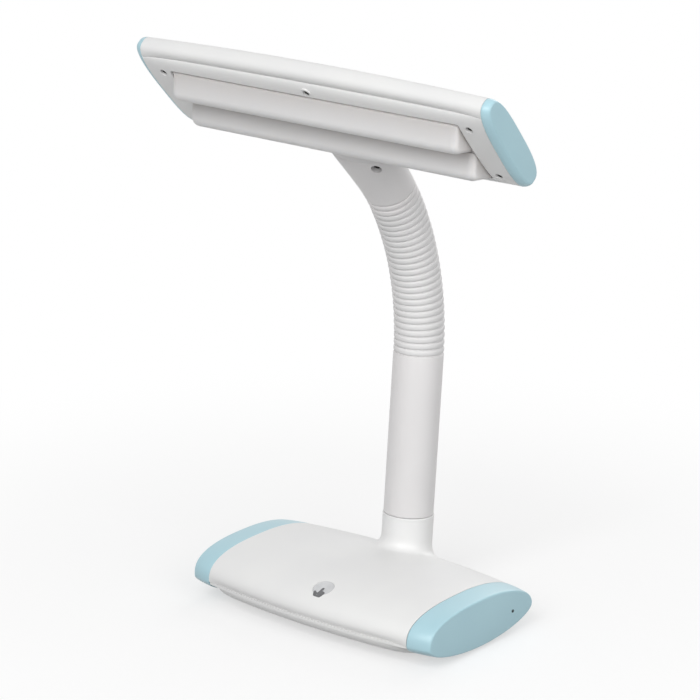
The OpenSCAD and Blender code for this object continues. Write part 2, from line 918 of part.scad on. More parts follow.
module cover_screws() {
    color("#6d6f72")
    in_head()
        at_cover_screws()
            into_head(cover_screw_seat - cover_screw_head) {
                cylinder(r = cover_screw_head_radius, h = cover_screw_head);
                cylinder(r = cover_screw_radius, h = cover_screw_length);
            }
}

module head_cap_left() {
    color(blue)
    in_head()
        mirror([1, 0, 0])
            head_cap();
}

module head_cap_right() {
    color(blue)
    in_head()
        head_cap();
}

// Roofed outline of a diffuser in the head's [y, z] plane, drawn in by a wall
function diffuser_outline(wall, skirt) =
    let (half = diffuser_width / 2 - wall, lean = atan((diffuser_width / 2) / diffuser_ridge))
    let (ridge = light_depth + diffuser_ridge - wall / sin(lean), r = crest_radius - wall)
    let (middle = r / sin(lean) - ridge, eave = ridge - half / tan(lean))
    concat(
        [[skirt, half], [-eave, half]],
        [for (i = [0 : 8])
            let (t = 90 + lean + i / 8 * (180 - 2 * lean))
            [middle + r * cos(t), r * sin(t)]],
        [[-eave, -half], [skirt, -half]]);

function diffuser_ring(x, wall) = [for (p = diffuser_outline(wall, plate_y)) [x, p[0], p[1]]];

module diffuser(side) {
    half = diffuser_length / 2;
    color(milky)
    in_head()
        translate([0, 0, diffuser_middle + side * diffuser_pitch / 2])
            difference() {
                loft([
                    diffuser_ring(-half, 1.2), diffuser_ring(0.4 - half, 0.6),
                    diffuser_ring(1.4 - half, 0), diffuser_ring(half - 1.4, 0),
                    diffuser_ring(half - 0.4, 0.6), diffuser_ring(half, 1.2)]);
                translate([diffuser_wall - half, 0, 0])
                    rotate([90, 0, 90])
                        linear_extrude(diffuser_length - 2 * diffuser_wall)
                            polygon(diffuser_outline(diffuser_wall, plate_y + through));
            }
}

module lamp_board_at(side) {
    pitch = (lamp_board[0] - 2 * diode_margin) / (diode_count - 1);
    in_head()
        translate([-lamp_board[0] / 2, plate_y - lamp_board[1],
            diffuser_middle + side * diffuser_pitch / 2 - lamp_board[2] / 2]) {
            cube(lamp_board);
            for (i = [0 : diode_count - 1])
                translate([
                    diode_margin + i * pitch - diode[0] / 2, -diode[1],
                    (lamp_board[2] - diode[2]) / 2])
                    cube(diode);
        }
}

module heat_spreader() {
    color("#c4c7ca")
    in_head()
        difference() {
            translate([-plate_half[0], plate_y, diffuser_middle - plate_half[1]])
                cube([2 * plate_half[0], plate, 2 * plate_half[1]]);
            at_cover_screws()
                into_head(plate_y - through)
                    cylinder(r = cover_boss_radius + clear, h = plate + 2 * through);
        }
}

module head_bracket() {
    color(steel)
    in_head()
        translate([-bracket[0] / 2, bracket_y, tongue_end])
            cube(bracket);
}

base_top_shell();
base_bottom_shell();
base_cap_left();
base_cap_right();
ballast_plate();
control_board();
touch_pad();
touch_sensor();
power_inlet();
indicator_lens();
base_pad();
base_screws();
stem_tube();
stem_washer();
stem_nut();
lower_ferrule();
gooseneck_core();
lamp_lead();
for (k = [1 : rib_count])
    rib(k);
neck_fairing();
upper_ferrule();
fairing_screw();
head_bracket();
head_top_shell();
head_cover();
head_cap_left();
head_cap_right();
diffuser(1);  // diffuser_front
diffuser(-1);  // diffuser_rear
color("#dfe3e0") lamp_board_at(1);  // lamp_board_front
color("#dfe3e0") lamp_board_at(-1);  // lamp_board_rear
heat_spreader();
cover_screws();
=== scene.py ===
"""Looks of the desk lamp: moulded shells, a ribbed neck, milky light bars and their finishes.

Sizes are in millimetres until a mesh is made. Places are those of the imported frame:
+X is the lamp's right end, -Y is the user's side and +Z is up.
"""

import json
import math

import bmesh
import bpy
import numpy as np
from mathutils import Matrix, Vector


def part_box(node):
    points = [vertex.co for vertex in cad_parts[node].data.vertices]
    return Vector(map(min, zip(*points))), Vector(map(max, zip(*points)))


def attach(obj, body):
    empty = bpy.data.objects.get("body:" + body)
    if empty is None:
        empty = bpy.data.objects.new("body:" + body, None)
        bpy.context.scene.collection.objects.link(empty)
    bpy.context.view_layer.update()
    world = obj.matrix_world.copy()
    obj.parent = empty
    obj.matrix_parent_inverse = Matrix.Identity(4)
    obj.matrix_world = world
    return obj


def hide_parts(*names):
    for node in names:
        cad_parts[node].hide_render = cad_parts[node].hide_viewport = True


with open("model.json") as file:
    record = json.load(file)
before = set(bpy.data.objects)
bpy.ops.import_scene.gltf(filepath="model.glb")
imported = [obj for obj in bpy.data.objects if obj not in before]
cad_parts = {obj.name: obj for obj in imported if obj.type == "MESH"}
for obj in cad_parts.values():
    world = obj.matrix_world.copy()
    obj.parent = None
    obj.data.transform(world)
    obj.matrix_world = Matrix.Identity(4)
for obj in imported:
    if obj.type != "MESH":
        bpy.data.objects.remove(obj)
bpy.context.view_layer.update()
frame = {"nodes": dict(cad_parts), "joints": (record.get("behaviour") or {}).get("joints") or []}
MM = 0.001


# Sizes that the frame gives

def box_mm(node):
    low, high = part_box(node)
    return np.array(low) / MM, np.array(high) / MM


GAPS = [np.array(joint["pos_m"]) / MM for joint in frame["joints"]]
RIB_COUNT = len(GAPS) - 1
PART_HEIGHT = box_mm("base_bottom_shell")[1][2]
FLOOR_HEIGHT = box_mm("base_bottom_shell")[0][2]
BASE_HALF = box_mm("base_top_shell")[1][0]
BASE_HALF_WIDTH = -box_mm("base_top_shell")[0][1]
BASE_CAP_DEPTH = box_mm("base_cap_right")[1][0] - BASE_HALF
DIFFUSER_HALF = box_mm("diffuser_front")[1][0]

# Base
BASE_BOW = 15.5
DOME_RISE = 26
DOME_CROWN = 2.5
FRONT_POWER = 2.7
REAR_POWER = 2
LOW_POWER = 1.9
TRAY_POWER = 2.4
TRAY_INSET = 1
TRAY_CORNER = 12
TRAY_END = 0.995
BASE_WALL = 2.4
BASE_CAP_TAPER = 4.5
BASE_CAP_CHEEK = 16
BASE_CAP_EDGE = 1.3
BASE_CAP_CROWN = 0.8
BASE_SKIN = 2.2
SEAM = 0.18
BASE_LIP = [2.2, 6]
TOUCH_X = 10
TOUCH_INSET = 18.5
TOUCH_RADIUS = 8.5
TOUCH_RIM = 1.4
INK = 0.12
INLET_RADIUS = 5.5
INLET_SHARE = -0.6
INLET_RISE = 9
INLET_RECESS = 15.5
WELL_WALL = 2
WELL_DEPTH = 6
WELL_SINK = 0.4

# Stem and neck
STEM_RADIUS = 20
STEM_LENGTH = 132
STEM_LEAN = 5
SOCKET_RIM = np.array([0, 58.2, 66])
SOCKET_RADIUS = STEM_RADIUS + 0.5
SOCKET_BLEND = 9
SOCKET_LIP = 0.45
SEAM_GAP = 0.8
SPIGOT_RADIUS = STEM_RADIUS - 2.4
SPIGOT_LENGTH = 30
STEM_BORE = SPIGOT_RADIUS - 2.1
RIB_GAP = 1.3
RIB_SKIRT = 1
RIB_EDGE = 0.75
RIB_CROWN = [0.95, 1.9]
RIB_FLANGE = 1
COLLAR_RADIUS = STEM_RADIUS - RIB_SKIRT - 0.2
COLLAR_WALL = 1.5
COLLAR_REACH = 1.9
CORE_RADIUS = 7
CORE_WIRE = 1.3
LEAD_RADIUS = 3

# Head, in its own frame: +Z runs from the rear edge to the front edge, -Y is the light side
FAIRING_CURVE = 27
FAIRING_TURN = 10
FAIRING_STRAIGHT = 34.4
FAIRING_RUN = FAIRING_CURVE + FAIRING_STRAIGHT
FAIRING_WIDTH = 62
FAIRING_THICKNESS = 30
FAIRING_POWER = 2.2
FAIRING_SHOULDER = 9
FAIRING_SCREW = [13.4, 6.4]
FAIRING_SCREW_TURN = 20
FAIRING_HOLE = 4.2
FAIRING_SEAT = -8
CUFF_RIBS = 2
CUFF_GROOVE = 1.2
TONGUE_HALF = [FAIRING_WIDTH / 2 - 2, 11]
HEAD_HALF = 165
HEAD_REACH = 49.2
HEAD_DROP = 2.8
HEAD_DRAFT = 5.5
HEAD_CAP_DEPTH = 7
HEAD_BOW = 6.4
HEAD_POWER = 3
BACK_RISE = 14.2
BACK_CROWN = 2.6
LIGHT_DEPTH = 12.1
HEAD_WALL = 2.2
HEAD_CAP_TAPER = 4.4
HEAD_CAP_DRAW = [0.2, 0.93, 0.6]
HEAD_CAP_EDGE = 1.0
HEAD_CAP_CROWN = 0.6
COVER_PART = 9
LIP_SEAM = 0.03
LIP_DROP = 2.4
LIP_WIDTH = [7, 8]
TONGUE_DEPTH = 12
TONGUE_FIT = 0.25
DIFFUSER_WIDTH = 30
DIFFUSER_PITCH = 31.2
DIFFUSER_RIDGE = 14.9
DIFFUSER_MIDDLE = -3.2
DIFFUSER_WALL = 1.6
DIFFUSER_FIT = 1.5
WINDOW_CORNER = 2.5
DIFFUSER_END = [6, 4]
DIFFUSER_FLANGE = 1.2
FLANGE_CORNER = 2
CREST_RADIUS = 7
PLATE_Y = -4.6
COVER_SCREW = [HEAD_HALF - 16.7, 26.9]
COVER_SCREW_SHIFT = -1.8
COVER_SCREW_MIDDLE = HEAD_REACH - 16.8
COVER_HOLE = 3.1
COVER_BOSS = COVER_HOLE + 1.6
COVER_SEAT = -8.4

# Screws: radius and height of the head, radius and length of the shank
COVER_SCREW_SIZES = [2.4, 2.0, 1.25, 7]
FAIRING_SCREW_SIZES = [3.4, 2.4, 1.75, 6]
BASE_SCREW_SIZES = [3.2, 2.2, 1.5, 11.8]

# The photograph's viewpoint: turn to the lamp's right, rise above it, place in metres and focal length
CAMERA_TURN = 40.29
CAMERA_RISE = 17.41
CAMERA_PLACE = (1.4317, -1.7026, 0.9132)
CAMERA_LENS = 156.03
# Middle of the lamp, in metres, at which the studio lights aim
LIGHT_AIM = Vector((0, 0, 0.22))


# Nodes: one small helper for every shader and geometry tree

def add(tree, kind, inputs=None, **settings):
    """Adds a node, sets its settings, and gives each named input a value or a link."""
    node = tree.nodes.new(kind)
    for name, value in settings.items():
        setattr(node, name, value)
    for name, value in (inputs or {}).items():
        if isinstance(value, bpy.types.NodeSocket):
            tree.links.new(value, node.inputs[name])
        else:
            node.inputs[name].default_value = value
    return node


def linear(hex_colour):
    """sRGB hex to the linear colour that a shader takes."""
    parts = [int(hex_colour[i:i + 2], 16) / 255 for i in (1, 3, 5)]
    return [c / 12.92 if c <= 0.04045 else ((c + 0.055) / 1.055) ** 2.4 for c in parts] + [1]


def moulded(name, pale, deep, grain, roughness, bump, cloud=60, spread=0.02, run=None, **shader_values):
    """A moulded or worked surface: a slow drift between two shades, a grain in its gloss and a fine bump.

    grain and cloud are the sizes of the fine and slow patterns in millimetres, and spread is how far the
    grain moves the roughness. Where run gives a start, a way and a length, the deep shade turns into the
    pale one along it instead: painted shade at the start, turning into painted light at the end.
    """
    material = bpy.data.materials.new(name)
    material.use_nodes = True
    tree = material.node_tree
    tree.nodes.clear()
    where = add(tree, "ShaderNodeTexCoord").outputs["Object"]
    drift = add(tree, "ShaderNodeTexNoise", {"Vector": where, "Scale": 1 / (cloud * MM), "Detail": 2})
    fine = add(tree, "ShaderNodeTexNoise", {"Vector": where, "Scale": 1 / (grain * MM), "Detail": 3})
    shade = drift.outputs["Fac"]
    if run:
        start, direction, length = run
        start = start @ direction
        along = add(tree, "ShaderNodeVectorMath", {0: where, 1: direction}, operation="DOT_PRODUCT")
        shade = add(tree, "ShaderNodeMapRange", {
            "Value": along.outputs["Value"], "From Min": start * MM, "From Max": (start + length) * MM,
            "To Min": 0.3, "To Max": 0.7}).outputs["Result"]
    colour = add(tree, "ShaderNodeValToRGB", {"Fac": shade})
    colour.color_ramp.elements[0].position = 0.3
    colour.color_ramp.elements[0].color = linear(deep)
    colour.color_ramp.elements[1].position = 0.7
    colour.color_ramp.elements[1].color = linear(pale)
    gloss = add(tree, "ShaderNodeMapRange", {
        "Value": fine.outputs["Fac"], "From Min": 0.3, "From Max": 0.7,
        "To Min": roughness - spread, "To Max": roughness + spread})
    relief = add(tree, "ShaderNodeBump", {
        "Height": fine.outputs["Fac"], "Strength": bump, "Distance": 0.1 * MM})
    shader = add(tree, "ShaderNodeBsdfPrincipled", {
        "Base Color": colour.outputs["Color"], "Roughness": gloss.outputs["Result"],
        "Normal": relief.outputs["Normal"], **shader_values})
    add(tree, "ShaderNodeOutputMaterial", {"Surface": shader.outputs["BSDF"]})
    return material


# Injection-moulded white ABS from a lightly etched mould: satin, with a barely visible grain.
# The real grain is about 0.2 mm, drawn here at 0.9 mm so that it shows.
WHITE_ABS = moulded("white_moulded_abs", "#E9E9E8", "#E5E5E5", 0.9, 0.36, 0.03, IOR=1.54)
# The same ABS in pale sky blue, from a smoother mould: a little glossier, with a deeper shade in places.
BLUE_ABS = moulded("sky_blue_moulded_abs", "#B0D4DE", "#ABCFDA", 0.9, 0.32, 0.015, IOR=1.54)
# Pale warm-grey ABS tube and fairing, extruded and moulded: satin, a little greyer than the white.
PALE_ABS = moulded("pale_grey_abs", "#E3E1E1", "#DFDDDD", 0.8, 0.4, 0.03, IOR=1.54)
# Soft PVC sleeve, moulded: duller than ABS, with a leathery skin.
SLEEVE_PVC = moulded("soft_pvc_sleeve", "#E2E1E1", "#DEDDDD", 0.7, 0.5, 0.06, IOR=1.53)
# Zinc-plated steel screws and nuts: bright, with small dull patches in the plating.
ZINC_STEEL = moulded(
    "zinc_plated_steel", "#B4B6B8", "#8E9194", 1.2, 0.34, 0.2, cloud=4, spread=0.06, Metallic=1)
# Black-oxide steel screws of the head: a dull black layer, with a faint brown in places.
BLACK_STEEL = moulded(
    "black_oxide_steel", "#232221", "#1A1919", 0.8, 0.5, 0.2, cloud=4, spread=0.06, IOR=1.5)
# Blackened steel coil of the gooseneck core, oiled: dark, with smoother and duller turns.
COIL_STEEL = moulded(
    "oiled_steel_coil", "#83878B", "#5F6367", 0.8, 0.4, 0.25, cloud=6, spread=0.06, Metallic=1)
# Sheet aluminium heat spreader, rolled: pale metal with a dull grain.
SHEET_ALUMINIUM = moulded(
    "rolled_aluminium", "#D5D7D9", "#C4C7CA", 1.5, 0.42, 0.2, cloud=20, spread=0.06, Metallic=1)
# Cast iron ballast, as cast: rough and dark.
CAST_IRON = moulded("cast_iron", "#6A6967", "#4F4E4D", 1.6, 0.7, 0.6, cloud=12, spread=0.06, Metallic=1)
# Green solder-mask board: glossy lacquer over a fine glass weave.
GREEN_BOARD = moulded("green_circuit_board", "#3F7A55", "#2F6846", 0.8, 0.3, 0.15, cloud=9, IOR=1.5)
# White solder-mask board of the diodes.
WHITE_BOARD = moulded("white_diode_board", "#F1F1EA", "#E2E2D8", 0.8, 0.34, 0.1, cloud=8, IOR=1.5)
# Touch pad, a clear-coated printed disc: satin grey under a thin lacquer.
TOUCH_GREY = moulded("lacquered_touch_disc", "#D4D5D6", "#C8C9CB", 0.6, 0.22, 0.03, cloud=7, IOR=1.5)
# Pad-printed ink of the touch symbol: flat dark grey with slightly thin places.
INK_GREY = moulded("pad_printed_ink", "#6C6D6F", "#5F6062", 0.5, 0.5, 0.05, cloud=3, IOR=1.5)
# Copper foil of the touch sensor.
COPPER_FOIL = moulded("copper_foil", "#C98F6B", "#B87850", 0.8, 0.3, 0.2, cloud=6, spread=0.06, Metallic=1)
# Black nylon of the power inlet: dull with a fine grain.
BLACK_NYLON = moulded("black_nylon", "#232325", "#1B1B1D", 0.7, 0.45, 0.15, cloud=10, IOR=1.53)
# Smoked lens of the indicator: dark and polished.
SMOKED_LENS = moulded("smoked_lens", "#2C3A3F", "#243036", 0.6, 0.12, 0.02, cloud=5, IOR=1.49)
# Closed-cell foam rubber pad: matt, with open pores cut at its skin.
FOAM_RUBBER = moulded("foam_rubber", "#3A3A3B", "#2C2C2D", 1.1, 0.9, 0.8, cloud=15, IOR=1.52)
# White PVC jacket of the lead.
LEAD_PVC = moulded("white_pvc_jacket", "#F0F0EF", "#E6E6E4", 0.8, 0.45, 0.1, cloud=12, IOR=1.53)


# Frames of the stem, the ribs and the head

def way(heading):
    """Unit step along the neck at a heading in degrees: 0 is up and 90 is towards the user."""
    return np.array([0, -math.sin(math.radians(heading)), math.cos(math.radians(heading))])


def across(heading):
    """Unit step from the neck's light side to its back."""
    return np.array([0, math.cos(math.radians(heading)), math.sin(math.radians(heading))])


def frame_at(place, heading):
    return Matrix.Translation(place) @ Matrix.Rotation(math.radians(heading), 4, "X")


def heading_between(low, high):
    step = high - low
    return math.degrees(math.atan2(-step[1], step[2]))


RIB_HEADINGS = [heading_between(GAPS[k], GAPS[k + 1]) for k in range(RIB_COUNT)]
RIB_BEND = RIB_HEADINGS[1] - RIB_HEADINGS[0]
RIB_HEIGHT = np.linalg.norm(GAPS[1] - GAPS[0]) - RIB_GAP
FAIRING_HEADING = RIB_HEADINGS[-1] + RIB_BEND
FAIRING_START = GAPS[-1] + RIB_GAP / 2 * way(FAIRING_HEADING)
HEAD_HEADING = FAIRING_HEADING + FAIRING_TURN
CURVE_STEPS = 18


def curve_point(step):
    point = FAIRING_START.copy()
    for i in range(step):
        point += FAIRING_CURVE / CURVE_STEPS * way(FAIRING_HEADING + FAIRING_TURN * (i + 0.5) / CURVE_STEPS)
    return point


NECK_LINE_END = curve_point(CURVE_STEPS) + (FAIRING_STRAIGHT + HEAD_REACH) * way(HEAD_HEADING)
IN_STEM = frame_at(SOCKET_RIM, -STEM_LEAN)
ON_NECK_LINE = frame_at(NECK_LINE_END, HEAD_HEADING)
IN_HEAD = frame_at(NECK_LINE_END - HEAD_DROP * across(HEAD_HEADING), HEAD_HEADING)
WORLD = Matrix.Identity(4)


# Mesh making

def power(value, exponent):
    return np.sign(value) * np.abs(value) ** exponent


def oval(turn, a, b, n):
    """Points of a rounded oval at angles in radians."""
    return a * power(np.cos(turn), 2 / n), b * power(np.sin(turn), 2 / n)


def turns(count, start=0.0, end=2 * math.pi, closed=True):
    return np.linspace(start, end, count, endpoint=not closed)


def stack(x, y, z):
    return np.stack(np.broadcast_arrays(x, y, z), axis=1).astype(float)


def mesh_object(name, points, faces, place=WORLD, lines=()):
    """Object at the origin whose mesh holds its place, from points in millimetres."""
    mesh = bpy.data.meshes.new(name)
    mesh.from_pydata([place @ Vector(p) * MM for p in points], lines, faces)
    obj = bpy.data.objects.new(name, mesh)
    bpy.context.scene.collection.objects.link(obj)
    return obj


def outward(obj, merge=0.001):
    """Merges doubled points and turns a closed mesh's faces outwards."""
    bm = bmesh.new()
    bm.from_mesh(obj.data)
    bmesh.ops.remove_doubles(bm, verts=bm.verts, dist=merge * MM)
    bmesh.ops.recalc_face_normals(bm, faces=bm.faces)
    bm.to_mesh(obj.data)
    bm.free()
    return obj


def skin(name, rings, ends="flat", place=WORLD):
    """Closed mesh through equal rings.

    A flat end is one face, a shell's end is a strip across its wall, and a loop joins its ends.
    """
    n = len(rings[0])
    last = n * (len(rings) - 1)
    faces = [(j * n + i, j * n + (i + 1) % n, (j + 1) * n + (i + 1) % n, (j + 1) * n + i)
             for j in range(len(rings) - 1) for i in range(n)]
    if ends == "flat":
        faces += [tuple(range(n)), tuple(range(last, last + n))]
    elif ends == "shell":
        faces += [(k + i, k + i + 1, k + n - 2 - i, k + n - 1 - i)
                  for k in (0, last) for i in range(n // 2 - 1)]
    elif ends == "loop":
        faces += [(last + i, last + (i + 1) % n, (i + 1) % n, i) for i in range(n)]
    return outward(mesh_object(name, np.concatenate(rings), faces, place))


def rounded(corners, radius, steps=4):
    """Closed outline with every corner eased by a short curve."""
    corners = [np.array(c, float) for c in corners]
    points = []
    for i, corner in enumerate(corners):
        before, after = corners[i - 1] - corner, corners[(i + 1) % len(corners)] - corner
        reach = min(radius, 0.45 * np.linalg.norm(before), 0.45 * np.linalg.norm(after))
        start = corner + reach * before / np.linalg.norm(before)
        end = corner + reach * after / np.linalg.norm(after)
        for t in np.linspace(0, 1, steps + 1):
            points.append((1 - t) ** 2 * start + 2 * t * (1 - t) * corner + t * t * end)
    return points


def quarter(draw, rise, steps, start=0.0):
    """Rounded edge, from its side to its face: how far each step lies from the one and from the other."""
    return [(draw * (1 - math.sin(a)), rise * (1 - math.cos(a)))
            for a in np.linspace(start, math.pi / 2, steps)]


def lathe(name, outline, place=WORLD, steps=128):
    """Closed ring turned about +Z from a closed outline of [radius, height] points."""
    rings = [[(r * math.cos(a), r * math.sin(a), z) for r, z in outline] for a in turns(steps)]
    return skin(name, [np.array(r) for r in rings], ends="loop", place=place)


def bar(name, radius, low, high, place=WORLD, steps=48):
    """Plain round cutter."""
    x, y = oval(turns(steps), radius, radius, 2)
    return skin(name, [stack(x, y, z) for z in (low, high)], place=place)


def bake(obj):
    """Gives the object the mesh that its modifiers make, and removes them."""
    evaluated = obj.evaluated_get(bpy.context.evaluated_depsgraph_get())
    mesh = bpy.data.meshes.new_from_object(evaluated)
    obj.modifiers.clear()
    old, obj.data = obj.data, mesh
    bpy.data.meshes.remove(old)
    return obj


def cut(obj, *cutters, operation="DIFFERENCE"):
    for cutter in cutters:
        modifier = obj.modifiers.new("cut", "BOOLEAN")
        modifier.operation = operation
        modifier.solver = "EXACT"
        modifier.object = cutter
        bake(obj)
        bpy.data.objects.remove(cutter)
    return obj


def dress(obj, material, body, slot, *nodes, sharp=32):
    """Finish, body and the CAD nodes that a piece stands for; the slot is not used."""
    obj.data.materials.clear()
    obj.data.materials.append(material)
    obj.data.shade_smooth()
    obj.data.set_sharp_from_angle(angle=math.radians(sharp))
    if nodes:
        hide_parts(*nodes)
    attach(obj, body)
    return obj


# Base: the dome's outline, and one skin that flows from the dome into the stem's socket

def base_half_width(x):
    return BASE_HALF_WIDTH - BASE_BOW / 2 * (np.asarray(x) / BASE_HALF) ** 2


def dome_at(x):
    return DOME_RISE - DOME_CROWN * (np.asarray(x) / BASE_HALF) ** 2


def side_power(y):
    return np.where(np.asarray(y) < 0, FRONT_POWER, REAR_POWER)


def dome_height(x, y):
    n = side_power(y)
    share = np.minimum(np.abs(y) / base_half_width(x), 1)
    return PART_HEIGHT + dome_at(x) * (1 - share ** n) ** (1 / n)


def dome_gap(p):
    """About how far points are outside the dome, with upright sides below the parting line."""
    x, y, rise = p[:, 0], p[:, 1], np.maximum(p[:, 2] - PART_HEIGHT, 0)
    w, h, n = base_half_width(x), dome_at(x), side_power(p[:, 1])
    level = (np.abs(y) / w) ** n + (rise / h) ** n
    slope = n * np.hypot(np.abs(y) ** (n - 1) / w ** n, rise ** (n - 1) / h ** n)
    return (level - 1) / np.maximum(slope, 0.02)


def socket_gap(p):
    local = p - SOCKET_RIM
    along = local @ way(-STEM_LEAN)
    return np.linalg.norm(local - along[:, None] * way(-STEM_LEAN), axis=1) - SOCKET_RADIUS


def base_gap(p):
    """Dome and socket as one form, eased into each other over SOCKET_BLEND."""
    a, b = dome_gap(p), socket_gap(p)
    share = np.maximum(SOCKET_BLEND - np.abs(a - b), 0) / SOCKET_BLEND
    return np.minimum(a, b) - share ** 2 * SOCKET_BLEND / 4


def settle(points, gap, reach=6, rounds=6, step=0.05):
    """Moves the points that are near a form on to it, along its slope."""
    for _ in range(rounds):
        here = gap(points)
        slope = np.stack([(gap(points + d) - gap(points - d)) / (2 * step)
                          for d in step * np.eye(3)], axis=1)
        length = np.maximum((slope ** 2).sum(1), 0.05)
        move = np.where(np.abs(here) < reach, here, 0) / length
        points = points - np.clip(move, -1, 1)[:, None] * slope
    return points


def dome_arc(x, wall=0, steps=64):
    turn = turns(steps, 0, math.pi, closed=False)
    y, z = oval(turn, base_half_width(x) - wall, dome_at(x) - wall, side_power(np.cos(turn)))
    return stack(x, y, PART_HEIGHT + z)


def touch_frame():
    """Middle of the touch pad on the chord between its front and rear edges."""
    y = TOUCH_INSET - base_half_width(TOUCH_X)
    front, rear = (dome_height(TOUCH_X, y + s * TOUCH_RADIUS) for s in (-1, 1))
    tilt = math.degrees(math.atan2(rear - front, 2 * TOUCH_RADIUS))
    return frame_at((TOUCH_X, y, (front + rear) / 2), tilt)


def inlet_frame():
    x = INLET_SHARE * BASE_HALF
    y = base_half_width(x) - INLET_RECESS
    return Matrix.Translation((x, y, PART_HEIGHT + INLET_RISE)) @ Matrix.Rotation(-math.pi / 2, 4, "X")


def base_top():
    """Upper shell: dome and socket as one skin with a wall, open below, at both ends and at the socket."""
    spare, grain = 12, 1.7
    stations = np.linspace(-BASE_HALF - spare, BASE_HALF + spare, 60)
    rings = [np.concatenate([dome_arc(x), [[x, -base_half_width(x), PART_HEIGHT - spare],
                                          [x, base_half_width(x), PART_HEIGHT - spare]]]) for x in stations]
    top = skin("base_top_skin", rings)
    cut(top, bar("socket", SOCKET_RADIUS, -50, spare, IN_STEM, steps=96), operation="UNION")
    remesh = top.modifiers.new("even faces", "REMESH")
    remesh.mode = "VOXEL"
    remesh.voxel_size = grain * MM
    bake(top)
    points = settle(np.array([v.co for v in top.data.vertices]) / MM, base_gap)
    near = 1 - np.clip((points[:, 2] - PART_HEIGHT) / BASE_LIP[1], 0, 1)
    middle = 1 - np.minimum(np.abs(points[:, 0]) / BASE_HALF, 1) ** 12
    points[:, 1] -= np.sign(points[:, 1]) * BASE_LIP[0] * middle * near ** 2
    top.data.vertices.foreach_set("co", (points * MM).ravel())
    bm = bmesh.new()
    bm.from_mesh(top.data)
    for place, normal in [((0, 0, PART_HEIGHT + SEAM), (0, 0, -1)), ((BASE_HALF - SEAM, 0, 0), (1, 0, 0)),
                          ((SEAM - BASE_HALF, 0, 0), (-1, 0, 0)), (SOCKET_RIM, way(-STEM_LEAN))]:
        bmesh.ops.bisect_plane(bm, geom=bm.verts[:] + bm.edges[:] + bm.faces[:], dist=1e-6,
            plane_co=Vector(place) * MM, plane_no=normal, clear_outer=True)
    bmesh.ops.remove_doubles(bm, verts=bm.verts, dist=0.05 * MM)
    bm.to_mesh(top.data)
    bm.free()
    wall = top.modifiers.new("wall", "SOLIDIFY")
    wall.thickness = BASE_SKIN * MM
    wall.offset = -1
    bake(top)
    cut(top, bar("touch_hole", TOUCH_RADIUS + SEAM, -4, 4, touch_frame()),
        bar("inlet_hole", INLET_RADIUS + SEAM, -WELL_DEPTH, 40, inlet_frame()))
    return dress(top, WHITE_ABS, "base", "white_abs", "base_top_shell")


def socket_lip():
    """Rounded rim of the stem's socket, which stands a little proud and catches the light."""
    inner, outer = SPIGOT_RADIUS + 0.3, SOCKET_RADIUS + 0.1
    outline = rounded([(inner, -2), (outer, -2), (outer, SOCKET_LIP), (inner, SOCKET_LIP)], 0.8, 5)
    return dress(lathe("socket_lip", outline, IN_STEM, steps=160), WHITE_ABS, "base", "white_abs", sharp=60)


def inlet_well():
    """Short tube from the dome's rear face in to the inlet."""
    turn, place = turns(48), inlet_frame()
    rings = []
    inner, outer = INLET_RADIUS + SEAM, INLET_RADIUS + WELL_WALL
    for radius, mouth in [(inner, False), (outer, False), (outer, True), (inner, True)]:
        x, z = radius * np.cos(turn), radius * np.sin(turn)
        base_x, base_z = x + place.translation.x, z + place.translation.z
        share = np.clip((base_z - PART_HEIGHT) / dome_at(base_x), 0, 1) ** REAR_POWER
        face = base_half_width(base_x) * (1 - share) ** (1 / REAR_POWER) - WELL_SINK
        rings.append(stack(base_x, face if mouth else place.translation.y - WELL_DEPTH, base_z))
    return dress(skin("inlet_well", rings, ends="loop"), WHITE_ABS, "base", "white_abs")


def tray_ring(s, wall, lid, steps=64):
    x = s * (TRAY_END * BASE_HALF - wall)
    corner = (1 - abs(s * TRAY_END) ** TRAY_CORNER) ** (1 / TRAY_CORNER)
    w = corner * (base_half_width(x) - TRAY_INSET) - wall
    h = corner * PART_HEIGHT - wall
    y, z = oval(turns(steps, math.pi, 2 * math.pi, closed=False), w, h, TRAY_POWER)
    arc = stack(x, y, np.maximum(FLOOR_HEIGHT + wall, PART_HEIGHT + z))
    return np.concatenate([arc, [[x, w, PART_HEIGHT + lid], [x, -w, PART_HEIGHT + lid]]])


def base_bottom():
    stations = np.sin(np.linspace(-math.pi / 2, math.pi / 2, 49))
    tray = skin("base_tray", [tray_ring(s, 0, 0) for s in stations])
    edge = [(s * TRAY_END * BASE_HALF, base_half_width(s * BASE_HALF) - TRAY_INSET)
            for s in np.linspace(-1, 1, 33)]
    rim = edge + [(-x, -y) for x, y in edge]
    levels = (PART_HEIGHT - BASE_WALL, PART_HEIGHT)
    cut(tray, skin("rim", [np.array([(x, y, z) for x, y in rim]) for z in levels]), operation="UNION")
    cut(tray, skin("hollow", [tray_ring(s, BASE_WALL, 2) for s in stations]))
    return dress(tray, WHITE_ABS, "base", "white_abs", "base_bottom_shell")


def cap_rings(outline, depth, wall, edge, crown):
    """Rings of an end cap: up the inside of its wall, over the mouth, along the outside and over its face.

    outline(q, inset, inside, share) gives the ring at a share q of the depth.
    """
    inner = [outline(q, wall, True, 1) for q in (1 - wall / depth, 0.5, 0.2, 0)]
    mouth = [outline(0.006, 0.25, False, 1), outline(0.02, 0, False, 1)]
    body = [outline(q, 0, False, 1) for q in np.linspace(0.06, 1 - (edge + crown) / depth, 10)]
    bend = [outline(1 - (crown + back) / depth, inset, False, 1)
            for back, inset in quarter(edge, edge, 6, 0.2)]
    face = [outline(1 - crown * s * s / depth, edge, False, s) for s in (0.96, 0.85, 0.65, 0.4, 0.15)]
    return inner + mouth + body + bend + face


